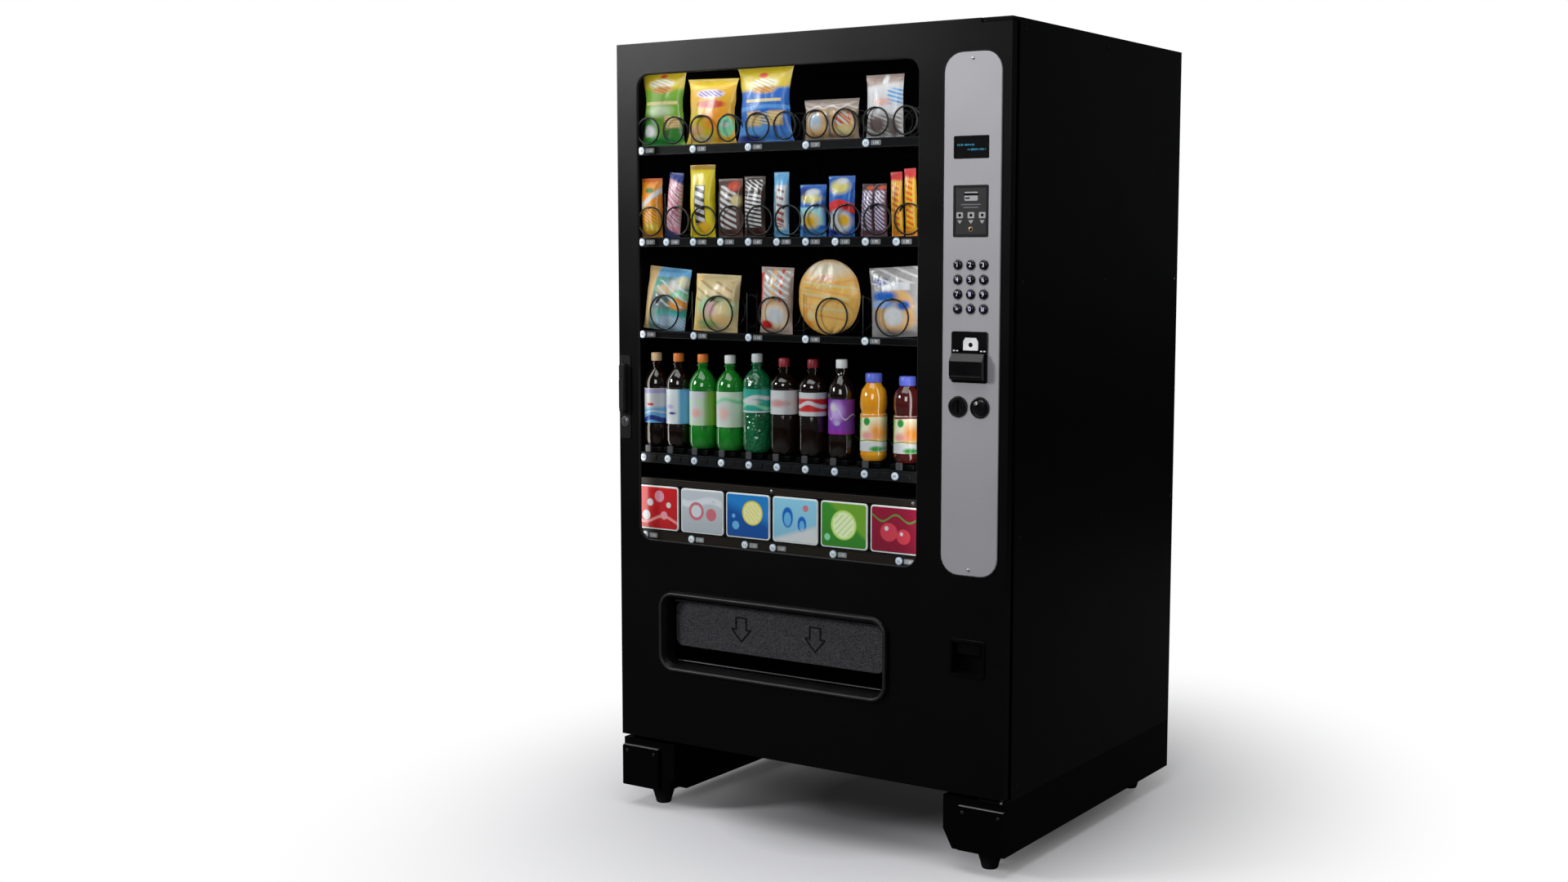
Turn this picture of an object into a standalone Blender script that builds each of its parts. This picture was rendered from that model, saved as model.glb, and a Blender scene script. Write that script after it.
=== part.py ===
"""Glass-front snack and cold drink vending machine, one named solid per physical piece.

Metres, +Z up, front faces -Y, origin at the centre of the footprint on the floor.
Local measures are given in millimetres from the left side (X), from the door front
(depth, Y) and above the bottom of the skids (Z), which is how the shop drawing reads.
"""
import math

import bmesh
import bpy

# ---------------------------------------------------------------- driving sizes (m)
WIDTH = 1.053
FOOT_H = 0.050
DEPTH = 0.9146           # door front to back
PROUD = 0.022            # the furthest anything stands out of the door front
HX = WIDTH / 2
YF = PROUD - (DEPTH + PROUD) / 2

# millimetres
DOOR_T = 30.0
DOOR_GAP = 6.0
CAB_F = DOOR_T + DOOR_GAP        # depth of the cabinet's front edge
DOOR_Z0 = 130.0
CAB_Z0 = 120.0                   # cabinet underside, top of the skids
TOP_Z = 1804.6
BACK_D = 914.6
WALL_L = 20.0
WALL_R = 30.0
CLR = 0.3                        # running and fitting clearance
HINGE_X = 1053.0 - 12.5
HINGE_D = DOOR_T - 12.0
WINDOW = (58.0, 832.0, 619.0, 1733.0, 35.0)
REAR_CUT = (17.0, 842.0, 604.0, 1748.0, 8.0)
GLASS = (46.0, 841.0, 608.0, 1744.0, 8.0)
PANEL = (893.6, 1031.6, 615.6, 1735.6, 42.0)
SERVICE_CUT = (906.0, 1018.0, 700.0, 1590.0, 6.0)
RING = (120.0, 761.0, 305.0, 501.0, 42.0)
FLAP = (148.0, 737.0, 364.0, 470.0, 20.0)
FLAP_AXIS = (29.0, 474.0)        # depth, height
CUP = (918.0, 1003.0, 392.0, 474.0, 8.0)
LOCK = (2.0, 35.0, 864.0, 1066.0, 5.0)
KEY_X = (930.4, 961.6, 992.8)
KEY_Z = (1287.0, 1255.6, 1224.4, 1193.2)
KEY_NAMES = (("1", "2", "3"), ("4", "5", "6"), ("7", "8", "9"), ("star", "0", "hash"))
COIN_SLOT = (933.6, 983.0)
COIN_BUTTON = (986.4, 983.0)
TRAY_X = (20.6, 838.0)
TRAY_D = (40.0, 640.0)
DIVIDER_D = 95.0  # the dividers start behind the first row of packets
COL_W = 159.2
# name, rail bottom, rail top, columns, divider height
TRAYS = (
    ("tray_1", 1544.5, 1565.7, 5, 52.0),
    ("tray_2", 1326.0, 1348.3, 10, 104.0),
    ("tray_3", 1106.6, 1123.8, 5, 94.0),
    ("tray_4", 803.3, 827.6, 0, 0.0),
)
WIRE = 1.8


def X(mm):
    return mm / 1000.0 - HX


def Y(mm):
    return YF + mm / 1000.0


def Z(mm):
    return FOOT_H + mm / 1000.0


# ---------------------------------------------------------------- scene and helpers
for old in list(bpy.data.objects):
    bpy.data.objects.remove(old, do_unlink=True)


def material(name, colour, rough=0.5, metal=0.0):
    mat = bpy.data.materials.new(name + "_mat")
    mat.use_nodes = True
    node = mat.node_tree.nodes["Principled BSDF"]
    node.inputs["Base Color"].default_value = (*colour, 1.0)
    node.inputs["Roughness"].default_value = rough
    node.inputs["Metallic"].default_value = metal
    return mat


def add(name, verts, faces, look=None, origin=(0.0, 0.0, 0.0)):
    """One closed mesh as an object whose origin is the given point."""
    mesh = bpy.data.meshes.new(name)
    ox, oy, oz = origin
    mesh.from_pydata([(x - ox, y - oy, z - oz) for x, y, z in verts], [], faces)
    bm = bmesh.new()
    bm.from_mesh(mesh)
    bmesh.ops.recalc_face_normals(bm, faces=bm.faces)
    if bm.calc_volume(signed=True) < 0:
        bmesh.ops.reverse_faces(bm, faces=bm.faces)
    bm.to_mesh(mesh)
    bm.free()
    obj = bpy.data.objects.new(name, mesh)
    obj.location = origin
    bpy.context.scene.collection.objects.link(obj)
    if look:
        mesh.materials.append(material(name, *look))
    return obj


def loft(name, loops, look=None, origin=(0.0, 0.0, 0.0), ring=False):
    """Skin equal-length loops in order; caps the ends, or closes on itself as a ring."""
    n = len(loops[0])
    verts = [p for loop in loops for p in loop]
    faces = []
    count = len(loops)
    for k in range(count if ring else count - 1):
        a = k * n
        b = ((k + 1) % count) * n
        for i in range(n):
            j = (i + 1) % n
            faces.append((a + i, a + j, b + j, b + i))
    if not ring:
        faces.append(tuple(range(n)))
        faces.append(tuple(range((count - 1) * n, count * n)))
    return add(name, verts, faces, look, origin)


def box(name, x, d, z, look=None, origin=(0.0, 0.0, 0.0)):
    """Plain block from (from, to) pairs in millimetres."""
    loops = [
        [(X(x[0]), Y(k), Z(z[0])), (X(x[1]), Y(k), Z(z[0])), (X(x[1]), Y(k), Z(z[1])), (X(x[0]), Y(k), Z(z[1]))]
        for k in d
    ]
    return loft(name, loops, look, origin)


def rounded(shape, depth, grow=0.0, seg=5):
    """Rounded rectangle facing the front, at one depth; grow moves every side outward."""
    x0, x1, z0, z1, r = shape
    x0, x1, z0, z1 = x0 - grow, x1 + grow, z0 - grow, z1 + grow
    r = max(r + grow, 0.5)
    pts = []
    for cx, cz, a0 in ((x1 - r, z1 - r, 0), (x0 + r, z1 - r, 90), (x0 + r, z0 + r, 180), (x1 - r, z0 + r, 270)):
        for i in range(seg + 1):
            a = math.radians(a0 + 90.0 * i / seg)
            pts.append((X(cx + r * math.cos(a)), Y(depth), Z(cz + r * math.sin(a))))
    return pts


def plate(name, shape, d0, d1, look=None, grow=0.0, seg=5, origin=(0.0, 0.0, 0.0)):
    return loft(name, [rounded(shape, d0, grow, seg), rounded(shape, d1, grow, seg)], look, origin)


def prism(name, outline, d0, d1, look=None, origin=(0.0, 0.0, 0.0)):
    """Outline of (x, z) millimetres, extruded from depth d0 to d1."""
    loops = [[(X(x), Y(d), Z(z)) for x, z in outline] for d in (d0, d1)]
    return loft(name, loops, look, origin)


def disc_loop(cx, cz, r, depth, n=16):
    return [
        (X(cx + r * math.cos(2 * math.pi * i / n)), Y(depth), Z(cz + r * math.sin(2 * math.pi * i / n)))
        for i in range(n)
    ]


def turned(name, cx, cz, profile, look=None, n=16, origin=(0.0, 0.0, 0.0)):
    """Turned part on an axis along Y; profile is (radius, depth) pairs from front to back."""
    return loft(name, [disc_loop(cx, cz, r, d, n) for r, d in profile], look, origin)


def upright(name, cx, cd, profile, look=None, n=16, origin=(0.0, 0.0, 0.0)):
    """Turned part on an axis along Z; profile is (radius, height in metres) pairs."""
    loops = [
        [
            (X(cx) + r / 1000 * math.cos(2 * math.pi * i / n), Y(cd) + r / 1000 * math.sin(2 * math.pi * i / n), h)
            for i in range(n)
        ]
        for r, h in profile
    ]
    return loft(name, loops, look, origin)


def operate(obj, tool, kind):
    mod = obj.modifiers.new(kind.lower() + "_" + tool.name, "BOOLEAN")
    mod.operation = kind
    mod.solver = "EXACT"
    mod.object = tool
    tool.hide_render = True
    tool.display_type = "WIRE"
    return obj


def cut(obj, *tools):
    for tool in tools:
        operate(obj, tool, "DIFFERENCE")
    return obj


def fuse(obj, *tools):
    for tool in tools:
        operate(obj, tool, "UNION")
    return obj


BLACK = ((0.012, 0.012, 0.014), 0.45)
SATIN = ((0.02, 0.02, 0.022), 0.35)
STEEL = ((0.55, 0.56, 0.58), 0.35, 0.9)
GREY = ((0.12, 0.12, 0.13), 0.5)


# ---------------------------------------------------------------- cabinet
def cabinet():
    box("left_wall", (0, WALL_L), (CAB_F, BACK_D), (CAB_Z0, TOP_Z), BLACK)
    box("right_wall", (1053 - WALL_R, 1053), (CAB_F, BACK_D), (CAB_Z0, TOP_Z), BLACK)
    inner = (WALL_L + CLR, 1053 - WALL_R - CLR)
    box("top_panel", inner, (CAB_F, BACK_D), (TOP_Z - 25, TOP_Z), BLACK)
    box("floor_panel", inner, (CAB_F, BACK_D), (CAB_Z0, CAB_Z0 + 25), BLACK)
    inside = (CAB_Z0 + 25 + CLR, TOP_Z - 25 - CLR)
    back = box("back_panel", inner, (BACK_D - 25, BACK_D), inside, GREY)
    cut(back, turned("cut_fan", 640, 330, ((104, BACK_D - 40), (104, BACK_D + 20)), n=24))
    cut(back, box("cut_inlet", (150, 210), (BACK_D - 19, BACK_D + 20), (190, 230)))
    box("partition_wall", (843, 849), (46, BACK_D - 25 - CLR), inside, GREY)


def skids():
    for side in ("left", "right"):
        sign = 1 if side == "left" else -1
        edge = 0 if side == "left" else 1053

        def at(mm, edge=edge, sign=sign):
            return edge + sign * mm

        rail = box("skid_" + side, sorted((at(0), at(153))), (8, BACK_D), (0, CAB_Z0 - CLR), BLACK)
        wedge = [(at(125), -10), (at(170), -10), (at(170), 68), (at(153), 43)]
        cut(rail, prism("cut_skid_" + side, wedge, -10, 58))
        for k, d in (("front", 74.5), ("rear", BACK_D - 75)):
            hole = upright("cut_hole_%s_%s" % (side, k), at(70), d, ((7.5, 0.03), (7.5, 0.12)), n=12)
            cut(rail, hole)
            foot(side, k, at(70), d)
        cover = (0, 109, 2, 101, 2)
        if side == "right":
            cover = (1053 - 113, 1053, 2, 101, 2)
        plate("skid_cover_" + side, cover, 0, 8 - CLR, SATIN, seg=2)


def foot(side, place, cx, cd):
    """Levelling foot: moulded plug on a threaded stem that turns in the skid."""
    profile = ((17, 0.0), (19, 0.003), (21, 0.012), (28, 0.034), (29, 0.0495), (7.0, 0.0496), (7.0, 0.100))
    upright("foot_%s_%s" % (side, place), cx, cd, profile, SATIN, 16, (X(cx), Y(cd), 0.0))


def hinges():
    low = box("hinge_bracket_bottom", (990, 1053), (1, CAB_F - CLR), (CAB_Z0, CAB_Z0 + 6), STEEL)
    fuse(low, upright("pin_low", HINGE_X, HINGE_D, ((5, Z(CAB_Z0 + 3)), (5, Z(DOOR_Z0 + 20))), n=12))
    high = box("hinge_bracket_top", (990, 1053), (1, CAB_F - CLR), (TOP_Z - 9, TOP_Z - 3), STEEL)
    pin = upright("pin_high", HINGE_X, HINGE_D, ((5, Z(TOP_Z - 32)), (5, Z(TOP_Z - 6))), n=12)
    fuse(high, pin)


# ---------------------------------------------------------------- door
def door_panel():
    """Door pan hinged on the right; its rear right edge is rounded about the pins."""
    pts = [(0, 0), (1053, 0), (1053, HINGE_D)]
    for i in range(1, 7):
        a = math.radians(15 * i)
        pts.append((HINGE_X + 12.5 * math.cos(a), HINGE_D + 12.0 * math.sin(a)))
    pts.append((0, DOOR_T))
    loops = [[(X(x), Y(d), Z(h)) for x, d in pts] for h in (DOOR_Z0, TOP_Z)]
    axis = (X(HINGE_X), Y(HINGE_D), Z(DOOR_Z0))
    door = loft("door_panel", loops, BLACK, axis)
    cut(
        door,
        plate("cut_window", WINDOW, -20, 60),
        plate("cut_window_rear", REAR_CUT, 6, 60, seg=2),
        plate("cut_panel", PANEL, -20, 3, grow=CLR, seg=6),
        plate("cut_service", SERVICE_CUT, -20, 60, seg=2),
        plate("cut_delivery", RING, -20, 60, grow=-8, seg=6),
        plate("cut_cup", CUP, -20, 60, grow=-4, seg=3),
        plate("cut_lock", LOCK, -20, 3, grow=CLR, seg=2),
        box("cut_notch", (980, 1070), (-20, 60), (TOP_Z - 10, TOP_Z + 20)),
        upright("cut_pin_low", HINGE_X, HINGE_D, ((5.5, Z(DOOR_Z0 - 10)), (5.5, Z(DOOR_Z0 + 24))), n=12),
        upright("cut_pin_high", HINGE_X, HINGE_D, ((5.5, Z(TOP_Z - 36)), (5.5, Z(TOP_Z + 10))), n=12),
    )


def door_parts():
    plate("window_glass", GLASS, 6 + CLR, 11.3, ((0.8, 0.85, 0.87), 0.05), seg=2)
    seal = (5, 1031, DOOR_Z0 + 5, TOP_Z - 12, 4)
    lips = [rounded(seal, d, g, 2) for d, g in ((DOOR_T + CLR, 0), (CAB_F - CLR, -1.5))]
    lips += [rounded(seal, d, g, 2) for d, g in ((CAB_F - CLR, -7.5), (DOOR_T + CLR, -9))]
    loft("door_gasket", lips, SATIN, ring=True)
    surround()
    cup()
    lock_set()


def surround():
    """Delivery port surround: rounded rim outside, straight sleeve through the door."""
    steps = ((-CLR, 0), (-6, 0), (-9.5, -2.5), (-10.5, -6), (-9, -10), (-4, -13), (4, -17), (DOOR_T + 3, -17))
    back = ((DOOR_T + 3, -8.4), (-CLR, -8.4))
    loops = [rounded(RING, d, g, 6) for d, g in steps + back]
    loft("delivery_surround", loops, SATIN, ring=True)


def cup():
    """Coin return cup: a small tray with a curled lip, closed behind."""
    solid = loft("coin_return_cup", [rounded(CUP, d, g, 3) for d, g in ((-4, -1.5), (-CLR, 0))], SATIN)
    fuse(solid, plate("cup_body", CUP, -1, DOOR_T + 2, grow=-4.4, seg=3))
    hollow = [rounded(CUP, d, g, 3) for d, g in ((-8, -4), (2, -7.5), (DOOR_T - 1, -10))]
    cut(solid, loft("cut_cup_inside", hollow))


def lock_set():
    body = plate("lock_plate", LOCK, -2, 2.7, SATIN, seg=2)
    cut(body, turned("cut_axle", 18.5, 1032, ((6.4, -10), (6.4, 10))))
    cut(body, turned("cut_cylinder", 18.5, 905, ((9.4, -10), (9.4, 10))))
    grip = (9.5, 27.5, 925, 1047, 8.5)
    axle = (X(18.5), Y(0), Z(1032))
    loops = [rounded(grip, d, g, 4) for d, g in ((-17, -3), (-15, -0.8), (-11, 0), (-2 - CLR, 0))]
    handle = loft("lock_handle", loops, SATIN, axle)
    fuse(handle, turned("handle_axle", 18.5, 1032, ((6.0, -4), (6.0, 2.5)), origin=axle))
    plug = turned("lock_cylinder", 18.5, 905, ((7.4, -6), (9, -4.5), (9, 2.5)), STEEL, 16, (X(18.5), Y(0), Z(905)))
    cut(plug, box("cut_keyway", (17.5, 19.5), (-12, -1), (899.5, 910.5)))
    box("latch_bar", (26, 34), (7, 13), (872, 1052), STEEL)


def flap():
    """Delivery flap: hangs from a rod along its top edge and swings inward."""
    depth, height = FLAP_AXIS
    axis = (X(442.5), Y(depth), Z(height))
    x0, x1, z0, z1, r = FLAP
    panel = loft(
        "delivery_flap",
        [rounded((x0, x1, z0, z1 + 2, r), d, g, 4) for d, g in ((26, -1.5), (27.5, 0), (32, 0))],
        ((0.06, 0.06, 0.068), 0.6),
        axis,
    )
    n = 12
    rod = [
        [(X(x), Y(depth + 4 * math.cos(math.tau * i / n)), Z(height + 4 * math.sin(math.tau * i / n))) for i in range(n)]
        for x in (147.5, 733.5)
    ]
    fuse(panel, loft("flap_rod", rod))
    for k, cx in enumerate((341.0, 549.5)):
        fuse(panel, *arrow("arrow_%d" % k, cx))


def arrow(name, cx):
    """Raised outline of a downward arrow, as wide as its ridge all round."""
    t = 3.0
    shape = [(-16, 453), (16, 453), (16, 425), (30, 425), (0, 392), (-30, 425), (-16, 425)]
    head = (33 - 2.4865 * t) / 1.1
    tip = 392 + 1.4865 * t
    inner = [(t - 16, 453 - t), (16 - t, 453 - t), (16 - t, 425 - t), (head, 425 - t), (0, tip)]
    inner += [(-head, 425 - t), (t - 16, 425 - t)]
    loops = []
    for d, pts in ((24.9, shape), (27.0, shape), (27.0, inner), (24.9, inner)):
        loops.append([(X(cx + x), Y(d), Z(z)) for x, z in pts])
    return [loft(name, loops, ring=True)]


# ---------------------------------------------------------------- payment side
def control_panel():
    x0, x1, z0, z1, r = PANEL
    loops = [rounded(PANEL, d, g, 6) for d, g in ((-2, -1.6), (-1, -0.3), (0, 0), (2.7, 0))]
    panel = loft("control_panel", loops, ((0.62, 0.61, 0.64), 0.35, 0.6))
    tools = [
        plate("cut_display", (917.6, 1002.4, 1512, 1560, 2), -20, 20, grow=CLR, seg=1),
        plate("cut_card", (917.6, 1002.4, 1346, 1456, 2), -20, 20, grow=CLR, seg=1),
        plate("cut_bill", (917, 1004, 1035.6, 1145, 3), -20, 20, grow=CLR, seg=1),
        turned("cut_slot", *COIN_SLOT, ((21.6, -20), (21.6, 20)), n=20),
        turned("cut_button", *COIN_BUTTON, ((19.2, -20), (19.2, 20)), n=20),
    ]
    for row, z in enumerate(KEY_Z):
        for col, x in enumerate(KEY_X):
            tools.append(turned("cut_key_%d%d" % (row, col), x, z, ((10.7, -20), (10.7, 20)), n=12))
    cut(panel, *tools)


def payment():
    view = plate("display_module", (917.6, 1002.4, 1512, 1560, 2), -1.5, 20, SATIN, seg=1)
    cut(view, plate("cut_screen", (922, 998, 1516.5, 1555.5, 1), -10, 0.5, seg=1))
    card = plate("info_card", (917.6, 1002.4, 1346, 1456, 2), -1.5, 6, SATIN, seg=1)
    cut(card, plate("cut_face", (921.5, 998.5, 1350, 1452, 1), -10, -0.6, seg=1))
    back = plate("keypad_frame", (912, 1011, 1176, 1304, 4), 6.6, 12, GREY, seg=1)
    for row, z in enumerate(KEY_Z):
        for col, x in enumerate(KEY_X):
            cut(back, turned("cut_stem_%d%d" % (row, col), x, z, ((6.6, 0), (6.6, 30)), n=8))
            key("key_" + KEY_NAMES[row][col], x, z)
    validator()
    slot = turned("coin_slot", *COIN_SLOT, ((15, -5.5), (19.5, -5.0), (21.2, -2.5), (21.2, 12)), SATIN, 20)
    cut(slot, turned("cut_dish", *COIN_SLOT, ((15, -8), (11, -3.0)), n=20))
    cut(slot, box("cut_coin", (932.0, 935.2), (-20, 30), (968.5, 997.5)))
    cx, cz = COIN_BUTTON
    profile = ((8, -9.2), (14.5, -7.6), (18.2, -4.5), (18.8, -1), (18.8, 13))
    turned("coin_return_button", cx, cz, profile, SATIN, 20, (X(cx), Y(-9.2), Z(cz)))
    mech = box("coin_mechanism", (911, 1013), (14, 98), (722, 952), GREY)
    cut(mech, box("cut_mech", (925, 999), (5, 40), (700, 760)))
    fuse(mech, box("mech_chute", (922, 946), (15, 60), (940, 957)))


def key(name, x, z):
    profile = ((4, -6.6), (8, -5.6), (10.2, -3.2), (10.2, 3.6), (5.8, 3.6), (5.8, 11))
    turned(name, x, z, profile, ((0.03, 0.03, 0.035), 0.3), 12, (X(x), Y(-6.6), Z(z)))


def validator():
    """Bill validator: proud mouth in front, note path and stacker box behind."""
    body = plate("bill_validator", (917, 1004, 1035.6, 1145, 3), -4, 12, SATIN, seg=1)
    side = [(-1, 1039), (-18, 1043), (-22, 1052), (-22, 1082), (-12, 1098), (-1, 1099.5)]
    loops = [[(X(x), Y(d), Z(h)) for d, h in side] for x in (921, 1000)]
    snout = loft("snout", loops)
    path = box("note_path", (925, 996), (10, 50), (1048, 1140))
    stack = box("stacker", (923, 998), (45, 112), (1048, 1330))
    fuse(body, snout, path, stack)
    mouth = [(-30, 1096), (-30, 1122), (2, 1105.5), (20, 1105.5), (20, 1102.5), (2, 1102.5)]
    cut(body, loft("cut_mouth", [[(X(x), Y(d), Z(h)) for d, h in mouth] for x in (928, 993)]))


# ---------------------------------------------------------------- inside
def tray(name, z0, z1, columns, tall):
    """Pull-out tray: front rail, floor and column dividers."""
    x0, x1 = TRAY_X
    width = COL_W * 5 / max(columns, 1)
    low = [(x0, z1 - 3), (x1, z1 - 3), (x1, z1 + 40), (x1 - 1.8, z1 + 40), (x1 - 1.8, z1)]
    high = [(x0 + 1.8, z1), (x0 + 1.8, z1 + 40), (x0, z1 + 40)]
    mid = []
    for i in range(columns, 0, -1):
        x = x0 + 1.8 + i * width
        if x < x1 - 6:
            mid += [(x + 0.9, z1), (x + 0.9, z1 + tall), (x - 0.9, z1 + tall), (x - 0.9, z1)]
    look = ((0.05, 0.05, 0.055), 0.45)
    body = prism(name, low + mid + high, DIVIDER_D, TRAY_D[1], look)
    fuse(body, prism(name + "_lip", low + high, TRAY_D[0] + 5, DIVIDER_D + 1))
    rail = prism(name + "_rail", [(x0, z0), (x1, z0), (x1, z1 + 0.4), (x0, z1 + 0.4)], TRAY_D[0], TRAY_D[0] + 9)
    fuse(body, rail)


def spiral(name, cx, cz, radius, turns, hand, pitch):
    """Vend coil: square-section wire helix with a straight drive end on its axis."""
    per = 8
    start = 44.0
    path = []
    for i in range(turns * per + 1):
        a = math.pi / 2 + hand * 2 * math.pi * i / per
        path.append((cx + radius * math.cos(a), start + pitch * i / per, cz + radius * math.sin(a)))
    end = start + pitch * turns
    path.append((cx, end + 8, cz))
    path.append((cx, end + 30, cz))
    verts = []
    for k, (x, d, z) in enumerate(path):
        ux, uz = (x - cx, z - cz)
        size = math.hypot(ux, uz)
        if size < 1:
            ux, uz = 0.0, 1.0
        else:
            ux, uz = ux / size, uz / size
        last = k >= len(path) - 2
        for r, t in ((1, 1), (1, -1), (-1, -1), (-1, 1)):
            if last:
                verts.append((X(x + WIRE * (r * ux + t * uz)), Y(d), Z(z + WIRE * (r * uz - t * ux))))
            else:
                verts.append((X(x + WIRE * r * ux), Y(d + WIRE * t), Z(z + WIRE * r * uz)))
    return verts, path


def coil(name, cx, cz, radius, turns, hand, pitch):
    verts, path = spiral(name, cx, cz, radius, turns, hand, pitch)
    faces = [(0, 1, 2, 3)]
    for k in range(len(path) - 1):
        for i in range(4):
            j = (i + 1) % 4
            faces.append((4 * k + i, 4 * k + j, 4 * k + 4 + j, 4 * k + 4 + i))
    n = 4 * (len(path) - 1)
    faces.append((n, n + 1, n + 2, n + 3))
    add(name, verts, faces, STEEL, (X(cx), Y(44), Z(cz)))


def inside():
    for row in TRAYS:
        tray(*row)
    box_shelf = box("tray_5", TRAY_X, (TRAY_D[0] + 5, TRAY_D[1]), (634.5, 637.5), ((0.05, 0.05, 0.055), 0.45))
    fuse(box_shelf, box("tray_5_rail", TRAY_X, (TRAY_D[0], TRAY_D[0] + 9), (612.2, 637.9)))
    front = box("picture_panel", (26, 836), (41, 47), (638.6, 766), ((0.5, 0.5, 0.5), 0.4))
    fuse(front, box("panel_shelf", (26, 836), (42, 66), (762, 766)))
    coil("coil_1_left", 57.0, 1602.0, 31, 9, 1, 62)
    coil("coil_1_right", 133.0, 1602.0, 31, 9, -1, 62)
    coil("coil_2", 62.4, 1386.6, 34, 9, 1, 62)
    coil("coil_3", 102.0, 1169.0, 41, 8, 1, 70)


def machinery():
    """Delivery bin, cooling unit, its fan and the power inlet."""
    floor = box("delivery_bin", (96, 800), (CAB_F + 4, 300), (296, 300), BLACK)
    for name, x, d, z in (
        ("bin_left", (96, 99), (CAB_F + 4, 300), (298, 540)),
        ("bin_right", (797, 800), (CAB_F + 4, 300), (298, 540)),
        ("bin_rear", (96.5, 799.5), (297, 299.5), (298, 560)),
        ("bin_lip", (97, 799), (CAB_F + 4.5, CAB_F + 7.5), (298, 314)),
    ):
        fuse(floor, box(name, x, d, z))
    unit = box("refrigeration_unit", (110, 800), (420, 800), (146, 166), GREY)
    fuse(
        unit,
        box("coil_block", (480, 800), (760, 800), (160, 500)),
        box("evaporator_box", (110, 790), (420, 700), (420, 560)),
        box("post_left", (112, 130), (424, 444), (160, 430)),
        box("post_right", (770, 788), (424, 444), (160, 430)),
        upright("compressor", 260, 620, ((85, Z(160)), (96, Z(180)), (96, Z(300)), (70, Z(345)), (20, Z(352))), n=16),
    )
    fan = turned("condenser_fan", 640, 330, ((10, 830), (26, 834), (26, 866), (8, 868)), GREY, 16,
                 (X(640), Y(850), Z(330)))
    for k in range(5):
        a = math.tau * k / 5
        fuse(fan, blade("blade_%d" % k, 640, 330, a))
    inlet = box("power_inlet", (151, 209), (BACK_D - 18, BACK_D - 2), (191, 229), SATIN)
    cut(inlet, box("cut_socket", (168, 192), (BACK_D - 14, BACK_D + 10), (202, 218)))


def blade(name, cx, cz, a):
    """Flat pitched blade reaching out from the hub at angle a."""
    pitch = math.radians(28)
    verts = []
    for r, chord in ((14, 16), (92, 24)):
        for u, v in ((-1, -1), (1, -1), (1, 1), (-1, 1)):
            across = u * chord * math.cos(pitch) - v * 1.3 * math.sin(pitch)
            along = u * chord * math.sin(pitch) + v * 1.3 * math.cos(pitch)
            x = cx + r * math.cos(a) - across * math.sin(a)
            z = cz + r * math.sin(a) + across * math.cos(a)
            verts.append((X(x), Y(850 + along), Z(z)))
    faces = [(0, 1, 2, 3), (4, 5, 6, 7), (0, 1, 5, 4), (1, 2, 6, 5), (2, 3, 7, 6), (3, 0, 4, 7)]
    return add(name, verts, faces)


cabinet()
skids()
hinges()
door_panel()
door_parts()
flap()
control_panel()
payment()
inside()
machinery()
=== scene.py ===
import math
import random
import bmesh
import bpy
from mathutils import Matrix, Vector, noise


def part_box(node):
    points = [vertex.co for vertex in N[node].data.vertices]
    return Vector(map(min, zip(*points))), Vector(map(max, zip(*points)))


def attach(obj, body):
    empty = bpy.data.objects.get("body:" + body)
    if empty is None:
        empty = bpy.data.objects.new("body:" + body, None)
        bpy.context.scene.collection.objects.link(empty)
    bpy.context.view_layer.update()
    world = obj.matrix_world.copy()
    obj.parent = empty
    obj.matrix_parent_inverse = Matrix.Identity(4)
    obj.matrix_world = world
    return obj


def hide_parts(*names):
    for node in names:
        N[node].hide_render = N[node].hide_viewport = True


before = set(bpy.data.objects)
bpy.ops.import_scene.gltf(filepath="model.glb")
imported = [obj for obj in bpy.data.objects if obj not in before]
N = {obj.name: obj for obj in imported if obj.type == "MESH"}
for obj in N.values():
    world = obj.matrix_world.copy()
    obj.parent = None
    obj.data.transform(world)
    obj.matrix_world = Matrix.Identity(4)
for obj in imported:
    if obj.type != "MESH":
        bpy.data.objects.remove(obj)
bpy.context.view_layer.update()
TAU = math.tau

# Datum: left side, door front, underside of the skids. Local measures are millimetres.
X0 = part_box("left_wall")[0][0]
Y0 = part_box("door_panel")[0][1]
Z0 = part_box("skid_left")[0][2]


def P(x, d, z):
    """A point from local millimetres: across, depth behind the door front, height."""
    return Vector((X0 + x / 1000, Y0 + d / 1000, Z0 + z / 1000))


def span(node):
    """Lowest and highest corner of a CAD node in local millimetres."""
    return [[(c - o) * 1000 for c, o in zip(corner, (X0, Y0, Z0))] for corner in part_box(node)]


# Trays: inner left edge and width, pitch of the lanes, height of each floor, places of the bottles, and
# each row's coils as height of the axis, radius, turns and pitch.
SHELF_LEFT = 22.4
SHELF_WIDE = 796
WIDE_PITCH = SHELF_WIDE / 5
SLIM_PITCH = SHELF_WIDE / 10
FLOOR = {1: 1567, 2: 1349, 3: 1125, 4: 842}
BOTTLE_X = (55, 122, 195, 275, 353, 430, 510, 588, 674, 762)
COILS = {1: (1602, 31, 10, 61), 2: (1386.6, 34, 10, 61), 3: (1169, 41, 9, 68), 4: (866, 30, 8, 68)}


# ------------------------------------------------------------------ camera, world, lights
scene = bpy.context.scene
scene.view_settings.view_transform = "Standard"
scene.view_settings.look = "None"
cam = bpy.data.objects.new("camera", bpy.data.cameras.new("camera"))
cam.data.lens = 43.585
cam.data.sensor_width = 36
cam.location = P(2893.4, -3597.7, 1322.7)
cam.rotation_euler = (math.radians(84.201), 0, math.radians(33.847))
scene.collection.objects.link(cam)
scene.camera = cam


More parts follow.
